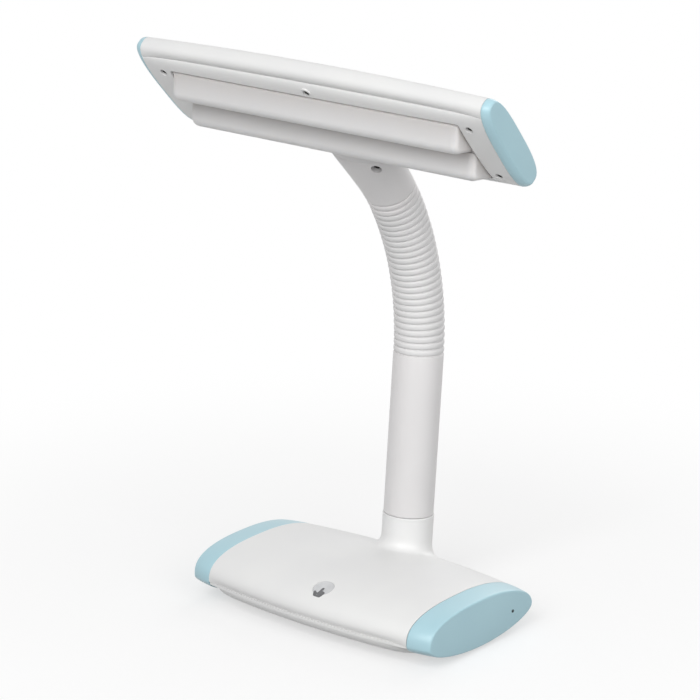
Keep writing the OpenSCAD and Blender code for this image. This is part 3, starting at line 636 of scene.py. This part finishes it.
def base_cap_outline(q, inset, inside, share):
    drop = BASE_CAP_TAPER * q ** 1.6
    turn = turns(128)
    upper = np.sin(turn) >= 0
    w = base_half_width(BASE_HALF) - drop - inset - (BASE_CAP_CHEEK if inside else 0)
    top = dome_at(BASE_HALF) - 0.3 * drop - inset
    low = PART_HEIGHT - FLOOR_HEIGHT - 0.2 - 0.1 * drop - inset
    n = np.where(upper, side_power(np.cos(turn)), LOW_POWER)
    y, z = oval(turn, share * w, share * np.where(upper, top, low), n)
    return stack(BASE_HALF + q * BASE_CAP_DEPTH, y, PART_HEIGHT + z)


def base_cap(name, side):
    rings = cap_rings(base_cap_outline, BASE_CAP_DEPTH, BASE_WALL, BASE_CAP_EDGE, BASE_CAP_CROWN)
    cap = skin(name + "_moulding", [r * [side, 1, 1] for r in rings])
    if side > 0:
        low, high = box_mm("indicator_lens")
        middle = (low + high) / 2
        radius = (high - low)[1] / 2 + 0.1
        cut(cap, bar("lens_hole", radius, -6, 6,
            Matrix.Translation(middle) @ Matrix.Rotation(math.pi / 2, 4, "Y")))
    return dress(cap, BLUE_ABS, "base", "blue_abs", name)


# Touch pad and its printed symbol

def touch_pad():
    outline = rounded([(0.01, -0.9), (TOUCH_RADIUS, -0.9), (TOUCH_RADIUS, 0.2), (TOUCH_RADIUS - 1.1, 0.05),
                       (TOUCH_RADIUS - 1.3, -0.12), (0.01, -0.2)], 0.12, 2)
    pad = lathe("touch_disc", outline, touch_frame(), steps=96)
    return dress(pad, TOUCH_GREY, "base", "touch_metal", "touch_pad")


def touch_symbol():
    """A pointing hand in front of the pad: its fingertip lies on the pad's middle."""
    place = touch_frame()
    hand = [(-1.0, 0.3), (1.0, 0.3), (1.1, -3.6), (2.3, -3.3), (3.1, -3.8), (4.2, -3.9), (4.9, -4.8),
            (5.0, -7.5), (3.7, -10.4), (-2.7, -10.4), (-3.9, -8.3), (-5.3, -5.7), (-4.4, -4.7),
            (-2.9, -5.6), (-1.1, -6.7)]
    outline = rounded(hand, 0.9, 4)
    bm = bmesh.new()
    bm.faces.new([bm.verts.new((x, y, 0)) for x, y in outline])
    for axis, span in ((Vector((1, 0, 0)), 7), (Vector((0, 1, 0)), 14)):
        for at in np.arange(-span, span, 1.0):
            bmesh.ops.bisect_plane(bm, geom=bm.verts[:] + bm.edges[:] + bm.faces[:], dist=1e-4,
                plane_co=axis * at, plane_no=axis)
    for vert in bm.verts:
        spot = place @ vert.co
        on_disc = vert.co.length < TOUCH_RADIUS
        on_rim = on_disc and vert.co.length > TOUCH_RADIUS - TOUCH_RIM
        lift = (0.16 if on_disc else 0.1) + (0.1 if on_rim else 0)
        height = spot.z if on_disc else float(dome_height(spot.x, spot.y))
        vert.co = Vector((spot.x, spot.y, height + lift)) * MM
    bmesh.ops.recalc_face_normals(bm, faces=bm.faces)
    mesh = bpy.data.meshes.new("touch_symbol")
    bm.to_mesh(mesh)
    bm.free()
    symbol = bpy.data.objects.new("touch_symbol", mesh)
    bpy.context.scene.collection.objects.link(symbol)
    ink = symbol.modifiers.new("ink", "SOLIDIFY")
    ink.thickness = INK * MM
    bake(symbol)
    return dress(symbol, INK_GREY, "base", "touch_metal")


# Stem and neck

def stem():
    outline = rounded([
        (STEM_BORE, -SPIGOT_LENGTH), (SPIGOT_RADIUS, -SPIGOT_LENGTH), (SPIGOT_RADIUS, SEAM_GAP),
        (STEM_RADIUS, SEAM_GAP), (STEM_RADIUS, STEM_LENGTH), (COLLAR_RADIUS, STEM_LENGTH),
        (COLLAR_RADIUS, STEM_LENGTH + RIB_GAP + COLLAR_REACH),
        (COLLAR_RADIUS - COLLAR_WALL, STEM_LENGTH + RIB_GAP + COLLAR_REACH),
        (COLLAR_RADIUS - COLLAR_WALL, STEM_LENGTH - 4), (STEM_BORE, STEM_LENGTH - 5)], RIB_EDGE, 3)
    tube = lathe("stem_sleeve", outline, IN_STEM, steps=160)
    return dress(tube, PALE_ABS, "base", "pale_abs", "stem_tube")


def new_tree(name, inputs):
    """Geometry tree with a geometry in and out and the given named number inputs."""
    tree = bpy.data.node_groups.new(name, "GeometryNodeTree")
    tree.interface.new_socket("Geometry", in_out="INPUT", socket_type="NodeSocketGeometry")
    for label, kind in inputs:
        tree.interface.new_socket(label, in_out="INPUT", socket_type=kind)
    tree.interface.new_socket("Geometry", in_out="OUTPUT", socket_type="NodeSocketGeometry")
    return tree, add(tree, "NodeGroupInput").outputs


def close_tree(tree, geometry, material):
    real = add(tree, "GeometryNodeRealizeInstances", {"Geometry": geometry})
    painted = add(tree, "GeometryNodeSetMaterial", {"Geometry": real.outputs[0], "Material": material})
    add(tree, "NodeGroupOutput", {"Geometry": painted.outputs[0]})


def grow(name, tree, points, values, closed=False):
    """Runs a geometry tree on a few points, or on the closed line through them, and keeps a plain mesh."""
    lines = [(i, (i + 1) % len(points)) for i in range(len(points))] if closed else []
    obj = mesh_object(name, points, [], lines=lines)
    modifier = obj.modifiers.new("grow", "NODES")
    modifier.node_group = tree
    for item in tree.interface.items_tree:
        if item.item_type == "SOCKET" and item.in_out == "INPUT" and item.name in values:
            modifier[item.identifier] = values[item.name]
    return outward(bake(obj))


def ring_tree():
    """Sweeps the outline that it is given round a circle and stands it on a foot: the ribs of the sleeve.

    The outline's X is how far a point lies outside the radius, and its Y how far it lies below the foot.
    """
    tree, given = new_tree("neck_rings", [("Radius", "NodeSocketFloat"), ("Steps", "NodeSocketInt"),
        ("Foot", "NodeSocketVector"), ("Turn", "NodeSocketVector")])
    section = add(tree, "GeometryNodeMeshToCurve", {"Mesh": given["Geometry"]})
    path = add(tree, "GeometryNodeCurvePrimitiveCircle",
        {"Resolution": given["Steps"], "Radius": given["Radius"]})
    ring = add(tree, "GeometryNodeCurveToMesh", {
        "Curve": path.outputs[0], "Profile Curve": section.outputs[0]})
    foot = add(tree, "GeometryNodePoints", {"Count": 1, "Position": given["Foot"]})
    turn = add(tree, "FunctionNodeEulerToRotation", {0: given["Turn"]})
    placed = add(tree, "GeometryNodeInstanceOnPoints", {
        "Points": foot.outputs[0], "Instance": ring.outputs[0], "Rotation": turn.outputs[0]})
    close_tree(tree, placed.outputs[0], SLEEVE_PVC)
    return tree


def coil_tree():
    """Wound turns of the steel core, one round wire turn for each point."""
    tree, given = new_tree("core_turns", [("Radius", "NodeSocketFloat"), ("Wire", "NodeSocketFloat"),
        ("Turn", "NodeSocketVector")])
    inner = add(tree, "ShaderNodeMath", {0: given["Radius"], 1: given["Wire"]}, operation="SUBTRACT")
    path = add(tree, "GeometryNodeCurvePrimitiveCircle", {"Resolution": 40, "Radius": inner.outputs[0]})
    wire = add(tree, "GeometryNodeCurvePrimitiveCircle", {"Resolution": 10, "Radius": given["Wire"]})
    ring = add(tree, "GeometryNodeCurveToMesh", {
        "Curve": path.outputs[0], "Profile Curve": wire.outputs[0]})
    turn = add(tree, "FunctionNodeEulerToRotation", {0: given["Turn"]})
    placed = add(tree, "GeometryNodeInstanceOnPoints", {
        "Points": given["Geometry"], "Instance": ring.outputs[0], "Rotation": turn.outputs[0]})
    close_tree(tree, placed.outputs[0], COIL_STEEL)
    return tree


def rib_outline():
    """Section of a rib as [radius, height]: a crowned skirt, a flange and a collar in the next rib."""
    top = RIB_HEIGHT + RIB_GAP + COLLAR_REACH
    skirt = STEM_RADIUS - RIB_SKIRT
    lower = [(STEM_RADIUS - inset, h) for inset, h in quarter(*RIB_CROWN, 6)]
    upper = [(r, RIB_HEIGHT - h) for r, h in reversed(lower)]
    return [(skirt, 0), *lower, *upper, (COLLAR_RADIUS, RIB_HEIGHT), (COLLAR_RADIUS, top),
            (COLLAR_RADIUS - COLLAR_WALL, top), (COLLAR_RADIUS - COLLAR_WALL, RIB_HEIGHT - RIB_FLANGE),
            (skirt, RIB_HEIGHT - RIB_FLANGE)]


def neck():
    """Ribs of the sleeve, each with the stretch of core and lead inside it, riding on its own link."""
    rings, coil = ring_tree(), coil_tree()
    pitch = RIB_HEIGHT + RIB_GAP
    outline = [(r - STEM_RADIUS, -h, 0) for r, h in rib_outline()]
    for k, heading in enumerate(RIB_HEADINGS):
        link = "rib_%02d" % (k + 1)
        turn = (math.radians(heading), 0, 0)
        rib = grow("sleeve_" + link, rings, outline, {
            "Radius": STEM_RADIUS * MM, "Steps": 128, "Foot": (GAPS[k] + RIB_GAP / 2 * way(heading)) * MM,
            "Turn": turn}, closed=True)
        dress(rib, SLEEVE_PVC, link, "sleeve_pvc", link, sharp=50)
        turns_here = [GAPS[k] + pitch * s * way(heading) for s in (0.25, 0.75)]
        core = grow("core_" + link, coil, turns_here, {
            "Radius": CORE_RADIUS * MM, "Wire": CORE_WIRE * MM, "Turn": turn})
        dress(core, COIL_STEEL, link, "steel", "gooseneck_core", sharp=60)
        lead = bar("lead_" + link, LEAD_RADIUS, 0.1, pitch - 0.1, frame_at(GAPS[k], heading), steps=24)
        dress(lead, LEAD_PVC, link, "lead_pvc", "lamp_lead")


# Fairing and head

def fairing_ring(place, heading, along, inset=0.0):
    """Ring at a distance along the fairing, which draws in to its tongue over a shoulder."""
    s = min(along / FAIRING_RUN, 1)
    near = min(max(1 - (FAIRING_RUN - along) / FAIRING_SHOULDER, 0), 1)
    full = math.sqrt(1 - near ** 2)
    a = STEM_RADIUS + (FAIRING_WIDTH / 2 - STEM_RADIUS) * s ** 1.3
    b = STEM_RADIUS + (FAIRING_THICKNESS / 2 - STEM_RADIUS) * s ** 0.8
    a, b = (tongue + full * (size - tongue) - inset for size, tongue in zip((a, b), TONGUE_HALF))
    x, y = oval(turns(128), a, b, 2 + (FAIRING_POWER - 2) * s)
    y = y - HEAD_DROP * (1 - full)
    return place + stack(x, 0, 0) + y[:, None] * across(heading)


def fairing_screw_frame():
    """Place of the fairing's screw, with +Z into the fairing from its light side."""
    return (ON_NECK_LINE @ Matrix.Translation((FAIRING_SCREW[0], 0, -HEAD_REACH - FAIRING_SCREW[1]))
            @ Matrix.Rotation(math.radians(FAIRING_SCREW_TURN), 4, "Z")
            @ Matrix.Rotation(-math.pi / 2, 4, "X"))


def fairing():
    start, first = FAIRING_START, FAIRING_HEADING
    bore = RIB_SKIRT
    rings = [fairing_ring(start + h * way(first), first, 0, inset) for h, inset in
             ((3.1, STEM_RADIUS - 0.5), (3.1, bore + 0.4), (2.8, bore), (0.2, bore))]
    bend = [(h, inset) for inset, h in quarter(*RIB_CROWN, 6)]
    pitch = RIB_HEIGHT + RIB_GAP
    cuff = [(k * pitch + h, inset) for k in range(CUFF_RIBS) for h, inset in
            [*bend, *((RIB_HEIGHT - h, inset) for h, inset in reversed(bend)),
             (RIB_HEIGHT + 0.1, CUFF_GROOVE), (pitch - 0.1, CUFF_GROOVE)]]
    cuff += [(CUFF_RIBS * pitch + h, inset) for h, inset in bend]
    smooth = np.linspace(CUFF_RIBS * pitch + RIB_CROWN[1] + 1, FAIRING_CURVE, 12)
    for along, inset in [*cuff, *((s, 0) for s in smooth)]:
        turned = FAIRING_TURN * along / FAIRING_CURVE
        place = start + along * way(first + turned / 2)
        rings.append(fairing_ring(place, first + turned, along, inset))
    end = curve_point(CURVE_STEPS)
    straight = np.linspace(2, FAIRING_STRAIGHT - FAIRING_SHOULDER - 1, 10)
    shoulder = [FAIRING_STRAIGHT - back for back, _ in quarter(FAIRING_SHOULDER, 0, 14)]
    for s in [*straight, *shoulder, FAIRING_STRAIGHT + TONGUE_DEPTH]:
        rings.append(fairing_ring(end + s * way(HEAD_HEADING), HEAD_HEADING, FAIRING_CURVE + s))
    body = skin("neck_fairing_moulding", rings)
    cut(body, bar("screw_hole", FAIRING_HOLE, FAIRING_SEAT - 30, FAIRING_SEAT, fairing_screw_frame()))
    return dress(body, PALE_ABS, "head", "pale_abs", "neck_fairing")


def head_half_width(x):
    return HEAD_REACH - HEAD_BOW / 2 * (x / HEAD_HALF) ** 2


def back_at(x):
    return BACK_RISE - BACK_CROWN * (x / HEAD_HALF) ** 2


def drawn(x, z):
    """Place along the head of a point, which is shorter along its rear edge than along its front edge."""
    return x * (1 - HEAD_DRAFT / HEAD_HALF * (1 - z / HEAD_REACH) / 2)


def head_arc(x, start, end, wall, steps=144):
    """Arc of the head's outline, with its points closer together near its ends."""
    turn = start + (end - start) * (1 - np.cos(np.linspace(0, math.pi, steps))) / 2
    depth = np.where(np.cos(turn) >= 0, back_at(x), LIGHT_DEPTH) - wall
    y, z = oval(turn, depth, head_half_width(x) - wall, HEAD_POWER)
    return stack(drawn(x, z), y, z)


def with_lips(arc, width, hollow):
    """Draws both ends of an arc inwards to the parting line: a hollow sweep, or else a rounded lip.

    Both run out towards the head's end caps.
    """
    step = np.gradient(arc, axis=0)
    inwards = stack(0, -step[:, 2], step[:, 1]) / np.linalg.norm(step, axis=1)[:, None]
    length = np.concatenate([[0], np.cumsum(np.linalg.norm(np.diff(arc, axis=0), axis=1))])
    near = np.maximum(1 - np.minimum(length, length[-1] - length) / width, 0)
    dip = near ** 2 if hollow else 1 - np.sqrt(1 - near ** 2)
    drop = LIP_DROP * (1 - (np.abs(arc[:, 0]).max() / HEAD_HALF) ** 12)
    return arc + drop * dip[:, None] * inwards


def head_shell(name, start_part, flip):
    """Back shell or light-side cover: an arc of the outline with a wall, run along the head."""
    end = math.acos(-(start_part / LIGHT_DEPTH) ** (HEAD_POWER / 2))
    span = (end, 2 * math.pi - end) if flip else (-end, end)
    rings = []
    for x in np.linspace(SEAM - HEAD_HALF, HEAD_HALF - SEAM, 49):
        outer, inner = (with_lips(head_arc(x, *span, wall), LIP_WIDTH[flip], not flip)
                        for wall in (0, HEAD_WALL))
        rings.append(np.concatenate([outer, inner[::-1]]))
    return skin(name, rings, ends="shell", place=IN_HEAD)


def tongue_cutter():
    x, y = oval(turns(96), TONGUE_HALF[0] + TONGUE_FIT, TONGUE_HALF[1] + TONGUE_FIT, FAIRING_POWER)
    levels = (-2 * HEAD_REACH, TONGUE_DEPTH - HEAD_REACH)
    return skin("tongue", [stack(x, y, z) for z in levels], place=IN_HEAD)


def slab(name, half, middle, corner, levels):
    """Block in the head with eased corners, between two levels of its depth."""
    x, z = half
    corners = rounded([(-x, -z), (x, -z), (x, z), (-x, z)], corner)
    return skin(name, [np.array([(a, y, b + middle) for a, b in corners]) for y in levels], place=IN_HEAD)


def window_cutter():
    """Opening for both diffusers, from outside the light side to their carrier plate."""
    half = (DIFFUSER_HALF + DIFFUSER_FIT, (DIFFUSER_PITCH + DIFFUSER_WIDTH) / 2 + DIFFUSER_FIT)
    return slab("window", half, DIFFUSER_MIDDLE, WINDOW_CORNER, (-30, PLATE_Y))


def cover_screw_places():
    ends = [(sx * COVER_SCREW[0], sz * COVER_SCREW[1] + COVER_SCREW_SHIFT)
            for sx in (-1, 1) for sz in (-1, 1)]
    return ends + [(0, COVER_SCREW_MIDDLE)]


def head_shells():
    back = cut(head_shell("head_back_skin", COVER_PART - LIP_SEAM, False), window_cutter(), tongue_cutter())
    dress(back, WHITE_ABS, "head", "white_abs", "head_top_shell")
    cover = head_shell("head_cover_skin", COVER_PART + LIP_SEAM, True)
    into = Matrix.Rotation(-math.pi / 2, 4, "X")
    spots = [IN_HEAD @ Matrix.Translation((x, 0, z)) @ into for x, z in cover_screw_places()]
    for spot in spots:
        boss = bar("boss", COVER_BOSS, -LIGHT_DEPTH + HEAD_WALL / 2, -4, spot)
        cut(cover, boss, operation="UNION")
    cut(cover, window_cutter(), tongue_cutter())
    for spot in spots:
        cut(cover, bar("screw_hole", COVER_HOLE, -20, COVER_SEAT, spot))
    dress(cover, WHITE_ABS, "head", "white_abs", "head_cover")


def head_cap_outline(q, inset, inside, share):
    drop = HEAD_CAP_TAPER * q ** 2
    turn = turns(128)
    depth = np.where(np.cos(turn) >= 0, back_at(HEAD_HALF) - HEAD_CAP_DRAW[0] * drop,
                     LIGHT_DEPTH - HEAD_CAP_DRAW[1] * drop) - 0.6 * inset
    half = head_half_width(HEAD_HALF) - HEAD_CAP_DRAW[2] * drop - inset
    y, z = oval(turn, share * depth, share * half, HEAD_POWER)
    return stack(drawn(HEAD_HALF + q * HEAD_CAP_DEPTH, z), y, z)


def head_cap(name, side):
    rings = cap_rings(head_cap_outline, HEAD_CAP_DEPTH, HEAD_WALL, HEAD_CAP_EDGE, HEAD_CAP_CROWN)
    cap = skin(name + "_moulding", [r * [side, 1, 1] for r in rings], place=IN_HEAD)
    return dress(cap, BLUE_ABS, "head", "blue_abs", name)


# Opal polycarbonate: light scatters inside it, so its edges glow softly. Its colour also carries painted
# shade
# and light: painted darker towards its eaves, where the bar meets the frame, and painted paler towards its
# crest.
LIGHT_FACE = np.array(IN_HEAD.translation) - LIGHT_DEPTH * across(HEAD_HEADING)
OPAL_PC = moulded("opal_polycarbonate", "#F4F2F1", "#CECAC8", 1.4, 0.42, 0.04, IOR=1.58,
    run=(LIGHT_FACE, -across(HEAD_HEADING), DIFFUSER_RIDGE),
    **{"Subsurface Weight": 0.5, "Subsurface Radius": (0.006, 0.0055, 0.005), "Subsurface Scale": 1})


def diffuser_outline(wall, skirt):
    half = DIFFUSER_WIDTH / 2 - wall
    lean = math.atan(DIFFUSER_WIDTH / 2 / DIFFUSER_RIDGE)
    ridge = LIGHT_DEPTH + DIFFUSER_RIDGE - wall / math.sin(lean)
    eave = ridge - half / math.tan(lean)
    radius = CREST_RADIUS - wall
    middle = radius / math.sin(lean) - ridge
    crest = [(middle + radius * math.cos(a), radius * math.sin(a))
             for a in np.linspace(math.pi / 2 + lean, 3 * math.pi / 2 - lean, 17)]
    return [(skirt, half), (-eave, half)] + crest + [(-eave, -half), (skirt, -half)]


def diffuser(name, side):
    """Roof-shaped opal bar with rounded ends on a flat flange, hollow along its length."""
    middle = DIFFUSER_MIDDLE + side * DIFFUSER_PITCH / 2

    def ring(x, wall, skirt):
        return np.array([(x, y, z + middle) for y, z in diffuser_outline(wall, skirt)])

    bends = [(DIFFUSER_HALF - back, inset) for back, inset in quarter(*DIFFUSER_END, 8)]
    ends = [(-x, inset) for x, inset in reversed(bends)] + bends
    body = skin(name + "_bar", [ring(x, inset, PLATE_Y) for x, inset in ends], place=IN_HEAD)
    spare = 0.05
    flange = slab("flange", (DIFFUSER_HALF, DIFFUSER_WIDTH / 2 + spare), middle, FLANGE_CORNER,
                  (DIFFUSER_FLANGE - LIGHT_DEPTH, PLATE_Y - spare))
    cut(body, flange, operation="UNION")
    inside = [ring(s * (DIFFUSER_HALF - 2 * DIFFUSER_WALL), DIFFUSER_WALL, PLATE_Y + 2) for s in (-1, 1)]
    cut(body, skin("hollow", inside, place=IN_HEAD))
    return dress(body, OPAL_PC, "head", "diffuser_pc", name)


# Screws

def times(tree, value, factor):
    return add(tree, "ShaderNodeMath", {0: value, 1: factor}, operation="MULTIPLY").outputs[0]


def screw_tree():
    """Pan-head screw with a cross recess, one for each point, its head towards the given way."""
    tree, given = new_tree("screws", [
        ("Head radius", "NodeSocketFloat"), ("Head height", "NodeSocketFloat"),
        ("Shank radius", "NodeSocketFloat"), ("Shank length", "NodeSocketFloat"),
        ("Way", "NodeSocketVector")])
    radius, height = given["Head radius"], given["Head height"]
    rim = add(tree, "GeometryNodeMeshCone", {
        "Vertices": 32, "Radius Top": times(tree, radius, 0.72), "Radius Bottom": radius, "Depth": height})
    recess = add(tree, "GeometryNodeMeshBoolean", {"Mesh 1": rim.outputs[0]}, operation="DIFFERENCE")
    long, wide = times(tree, radius, 1.1), times(tree, radius, 0.28)
    lift = add(tree, "ShaderNodeCombineXYZ", {2: times(tree, height, 1.05)})
    # The second slot is a little deeper, so that the two floors don't lie in one plane
    for x, y, z in ((long, wide, height), (wide, long, times(tree, height, 1.1))):
        size = add(tree, "ShaderNodeCombineXYZ", {0: x, 1: y, 2: z})
        slot = add(tree, "GeometryNodeMeshCube", {"Size": size.outputs[0]})
        raised = add(tree, "GeometryNodeTransform", {
            "Geometry": slot.outputs[0], "Translation": lift.outputs[0]})
        tree.links.new(raised.outputs[0], recess.inputs["Mesh 2"])
    length = given["Shank length"]
    shank = add(tree, "GeometryNodeMeshCylinder", {
        "Vertices": 20, "Radius": given["Shank radius"], "Depth": length})
    sunk = add(tree, "ShaderNodeCombineXYZ", {2: times(tree, length, -0.5)})
    under = add(tree, "GeometryNodeTransform", {
        "Geometry": shank.outputs[0], "Translation": sunk.outputs[0]})
    whole = add(tree, "GeometryNodeJoinGeometry")
    tree.links.new(recess.outputs[0], whole.inputs[0])
    tree.links.new(under.outputs[0], whole.inputs[0])
    turn = add(tree, "FunctionNodeAlignRotationToVector", {"Vector": given["Way"]}, axis="Z")
    placed = add(tree, "GeometryNodeInstanceOnPoints", {
        "Points": given["Geometry"], "Instance": whole.outputs[0], "Rotation": turn.outputs[0]})
    close_tree(tree, placed.outputs[0], ZINC_STEEL)
    return tree


def screws():
    tree = screw_tree()
    cover = [np.array(IN_HEAD @ Vector((x, COVER_SEAT, z))) for x, z in cover_screw_places()]
    spot = fairing_screw_frame()
    low, high = box_mm("base_screws")
    inset, rise = BASE_SCREW_SIZES[:2]
    base = [(sx * (high[0] - inset), sy * (high[1] - inset), low[2] + rise)
            for sx in (-1, 1) for sy in (-1, 1)]
    for node, places, sizes, towards, body, finish in [
            ("cover_screws", cover, COVER_SCREW_SIZES, IN_HEAD.to_3x3() @ Vector((0, -1, 0)),
             "head", BLACK_STEEL),
            ("fairing_screw", [np.array(spot @ Vector((0, 0, FAIRING_SEAT)))], FAIRING_SCREW_SIZES,
             spot.to_3x3() @ Vector((0, 0, -1)), "head", BLACK_STEEL),
            ("base_screws", base, BASE_SCREW_SIZES, Vector((0, 0, -1)), "base", ZINC_STEEL)]:
        names = ("Head radius", "Head height", "Shank radius", "Shank length")
        values = {name: size * MM for name, size in zip(names, sizes)}
        piece = grow(node + "_set", tree, places, {**values, "Way": towards})
        dress(piece, finish, body, "steel", node)


# CAD nodes that keep their own shape

def finish_cad_nodes():
    finishes = {
        "ballast_plate": CAST_IRON, "control_board": GREEN_BOARD, "touch_sensor": COPPER_FOIL,
        "power_inlet": BLACK_NYLON, "indicator_lens": SMOKED_LENS, "base_pad": FOAM_RUBBER,
        "stem_washer": ZINC_STEEL, "stem_nut": ZINC_STEEL, "lower_ferrule": ZINC_STEEL,
        "upper_ferrule": ZINC_STEEL, "head_bracket": ZINC_STEEL, "lamp_board_front": WHITE_BOARD,
        "lamp_board_rear": WHITE_BOARD, "heat_spreader": SHEET_ALUMINIUM}
    for node, material in finishes.items():
        obj = frame["nodes"][node]
        obj.data.materials.clear()
        obj.data.materials.append(material)


# Floor, light and camera

def paper_floor():
    """White paper: it shows the lamp's shadow, runs out to plain white, and throws little light back up."""
    floor = mesh_object("floor", [(-9000, -9000, 0), (9000, -9000, 0), (9000, 9000, 0), (-9000, 9000, 0)],
                        [(0, 1, 2, 3)])
    paper = bpy.data.materials.new("white_paper_floor")
    paper.use_nodes = True
    tree = paper.node_tree
    tree.nodes.clear()
    where = add(tree, "ShaderNodeTexCoord").outputs["Object"]
    reach = add(tree, "ShaderNodeVectorMath", {0: where}, operation="LENGTH")
    fade = add(tree, "ShaderNodeMapRange", {
        "Value": reach.outputs["Value"], "From Min": 0.12, "From Max": 0.65, "To Min": 0.55},
        interpolation_type="SMOOTHSTEP")
    sheet = add(tree, "ShaderNodeBsdfDiffuse", {"Color": linear("#FDFDFD")})
    plain = add(tree, "ShaderNodeEmission", {"Color": (1, 1, 1, 1), "Strength": 1.0})
    shown = add(tree, "ShaderNodeMixShader", {
        0: fade.outputs["Result"], 1: sheet.outputs[0], 2: plain.outputs[0]})
    dim = add(tree, "ShaderNodeBsdfDiffuse", {"Color": linear("#A6A6A6")})
    final = add(tree, "ShaderNodeMixShader", {
        0: seen_directly(tree), 1: dim.outputs[0], 2: shown.outputs[0]})
    add(tree, "ShaderNodeOutputMaterial", {"Surface": final.outputs[0]})
    floor.data.materials.append(paper)


def seen_directly(tree):
    """1 for what the camera sees, also in a reflection or through a clear piece."""
    path = add(tree, "ShaderNodeLightPath").outputs
    pair = add(tree, "ShaderNodeMath", {0: path["Is Camera Ray"], 1: path["Is Glossy Ray"]},
        operation="MAXIMUM")
    return add(tree, "ShaderNodeMath", {0: pair.outputs[0], 1: path["Is Transmission Ray"]},
        operation="MAXIMUM").outputs[0]


def studio():
    paper_floor()
    world = bpy.data.worlds.new("studio")
    bpy.context.scene.world = world
    world.use_nodes = True
    tree = world.node_tree
    tree.nodes.clear()
    sky = add(tree, "ShaderNodeBackground", {"Color": (1, 1, 1, 1), "Strength": 0.36})
    white = add(tree, "ShaderNodeBackground", {"Color": (1, 1, 1, 1), "Strength": 1.0})
    shown = add(tree, "ShaderNodeMixShader", {
        0: seen_directly(tree), 1: sky.outputs[0], 2: white.outputs[0]})
    add(tree, "ShaderNodeOutputWorld", {"Surface": shown.outputs[0]})

    for name, place, size, watts in [
            ("key", (0.5, -2.0, 1.7), 1.8, 40), ("fill", (1.75, -0.47, 1.07), 1.5, 14),
            ("rear", (-0.3, 2.0, 1.2), 1.6, 12)]:
        lamp = bpy.data.lights.new(name, "AREA")
        lamp.energy = watts
        lamp.size = size
        obj = bpy.data.objects.new(name, lamp)
        bpy.context.scene.collection.objects.link(obj)
        obj.location = place
        obj.rotation_mode = "QUATERNION"
        obj.rotation_quaternion = (LIGHT_AIM - Vector(place)).to_track_quat("-Z", "Y")


def camera():
    turn, rise = math.radians(CAMERA_TURN), math.radians(CAMERA_RISE)
    back = Vector((math.sin(turn) * math.cos(rise), -math.cos(turn) * math.cos(rise), math.sin(rise)))
    data = bpy.data.cameras.new("camera")
    data.sensor_width = 36
    data.lens = CAMERA_LENS
    data.clip_end = 50
    obj = bpy.data.objects.new("camera", data)
    bpy.context.scene.collection.objects.link(obj)
    obj.location = CAMERA_PLACE
    obj.rotation_mode = "QUATERNION"
    obj.rotation_quaternion = (-back).to_track_quat("-Z", "Y")
    bpy.context.scene.camera = obj


bpy.context.scene.view_settings.view_transform = "Standard"
camera()
studio()
base_top()
socket_lip()
inlet_well()
base_bottom()
base_cap("base_cap_left", -1)
base_cap("base_cap_right", 1)
touch_pad()
touch_symbol()
stem()
neck()
fairing()
head_shells()
head_cap("head_cap_left", -1)
head_cap("head_cap_right", 1)
diffuser("diffuser_front", 1)
diffuser("diffuser_rear", -1)
screws()
finish_cad_nodes()
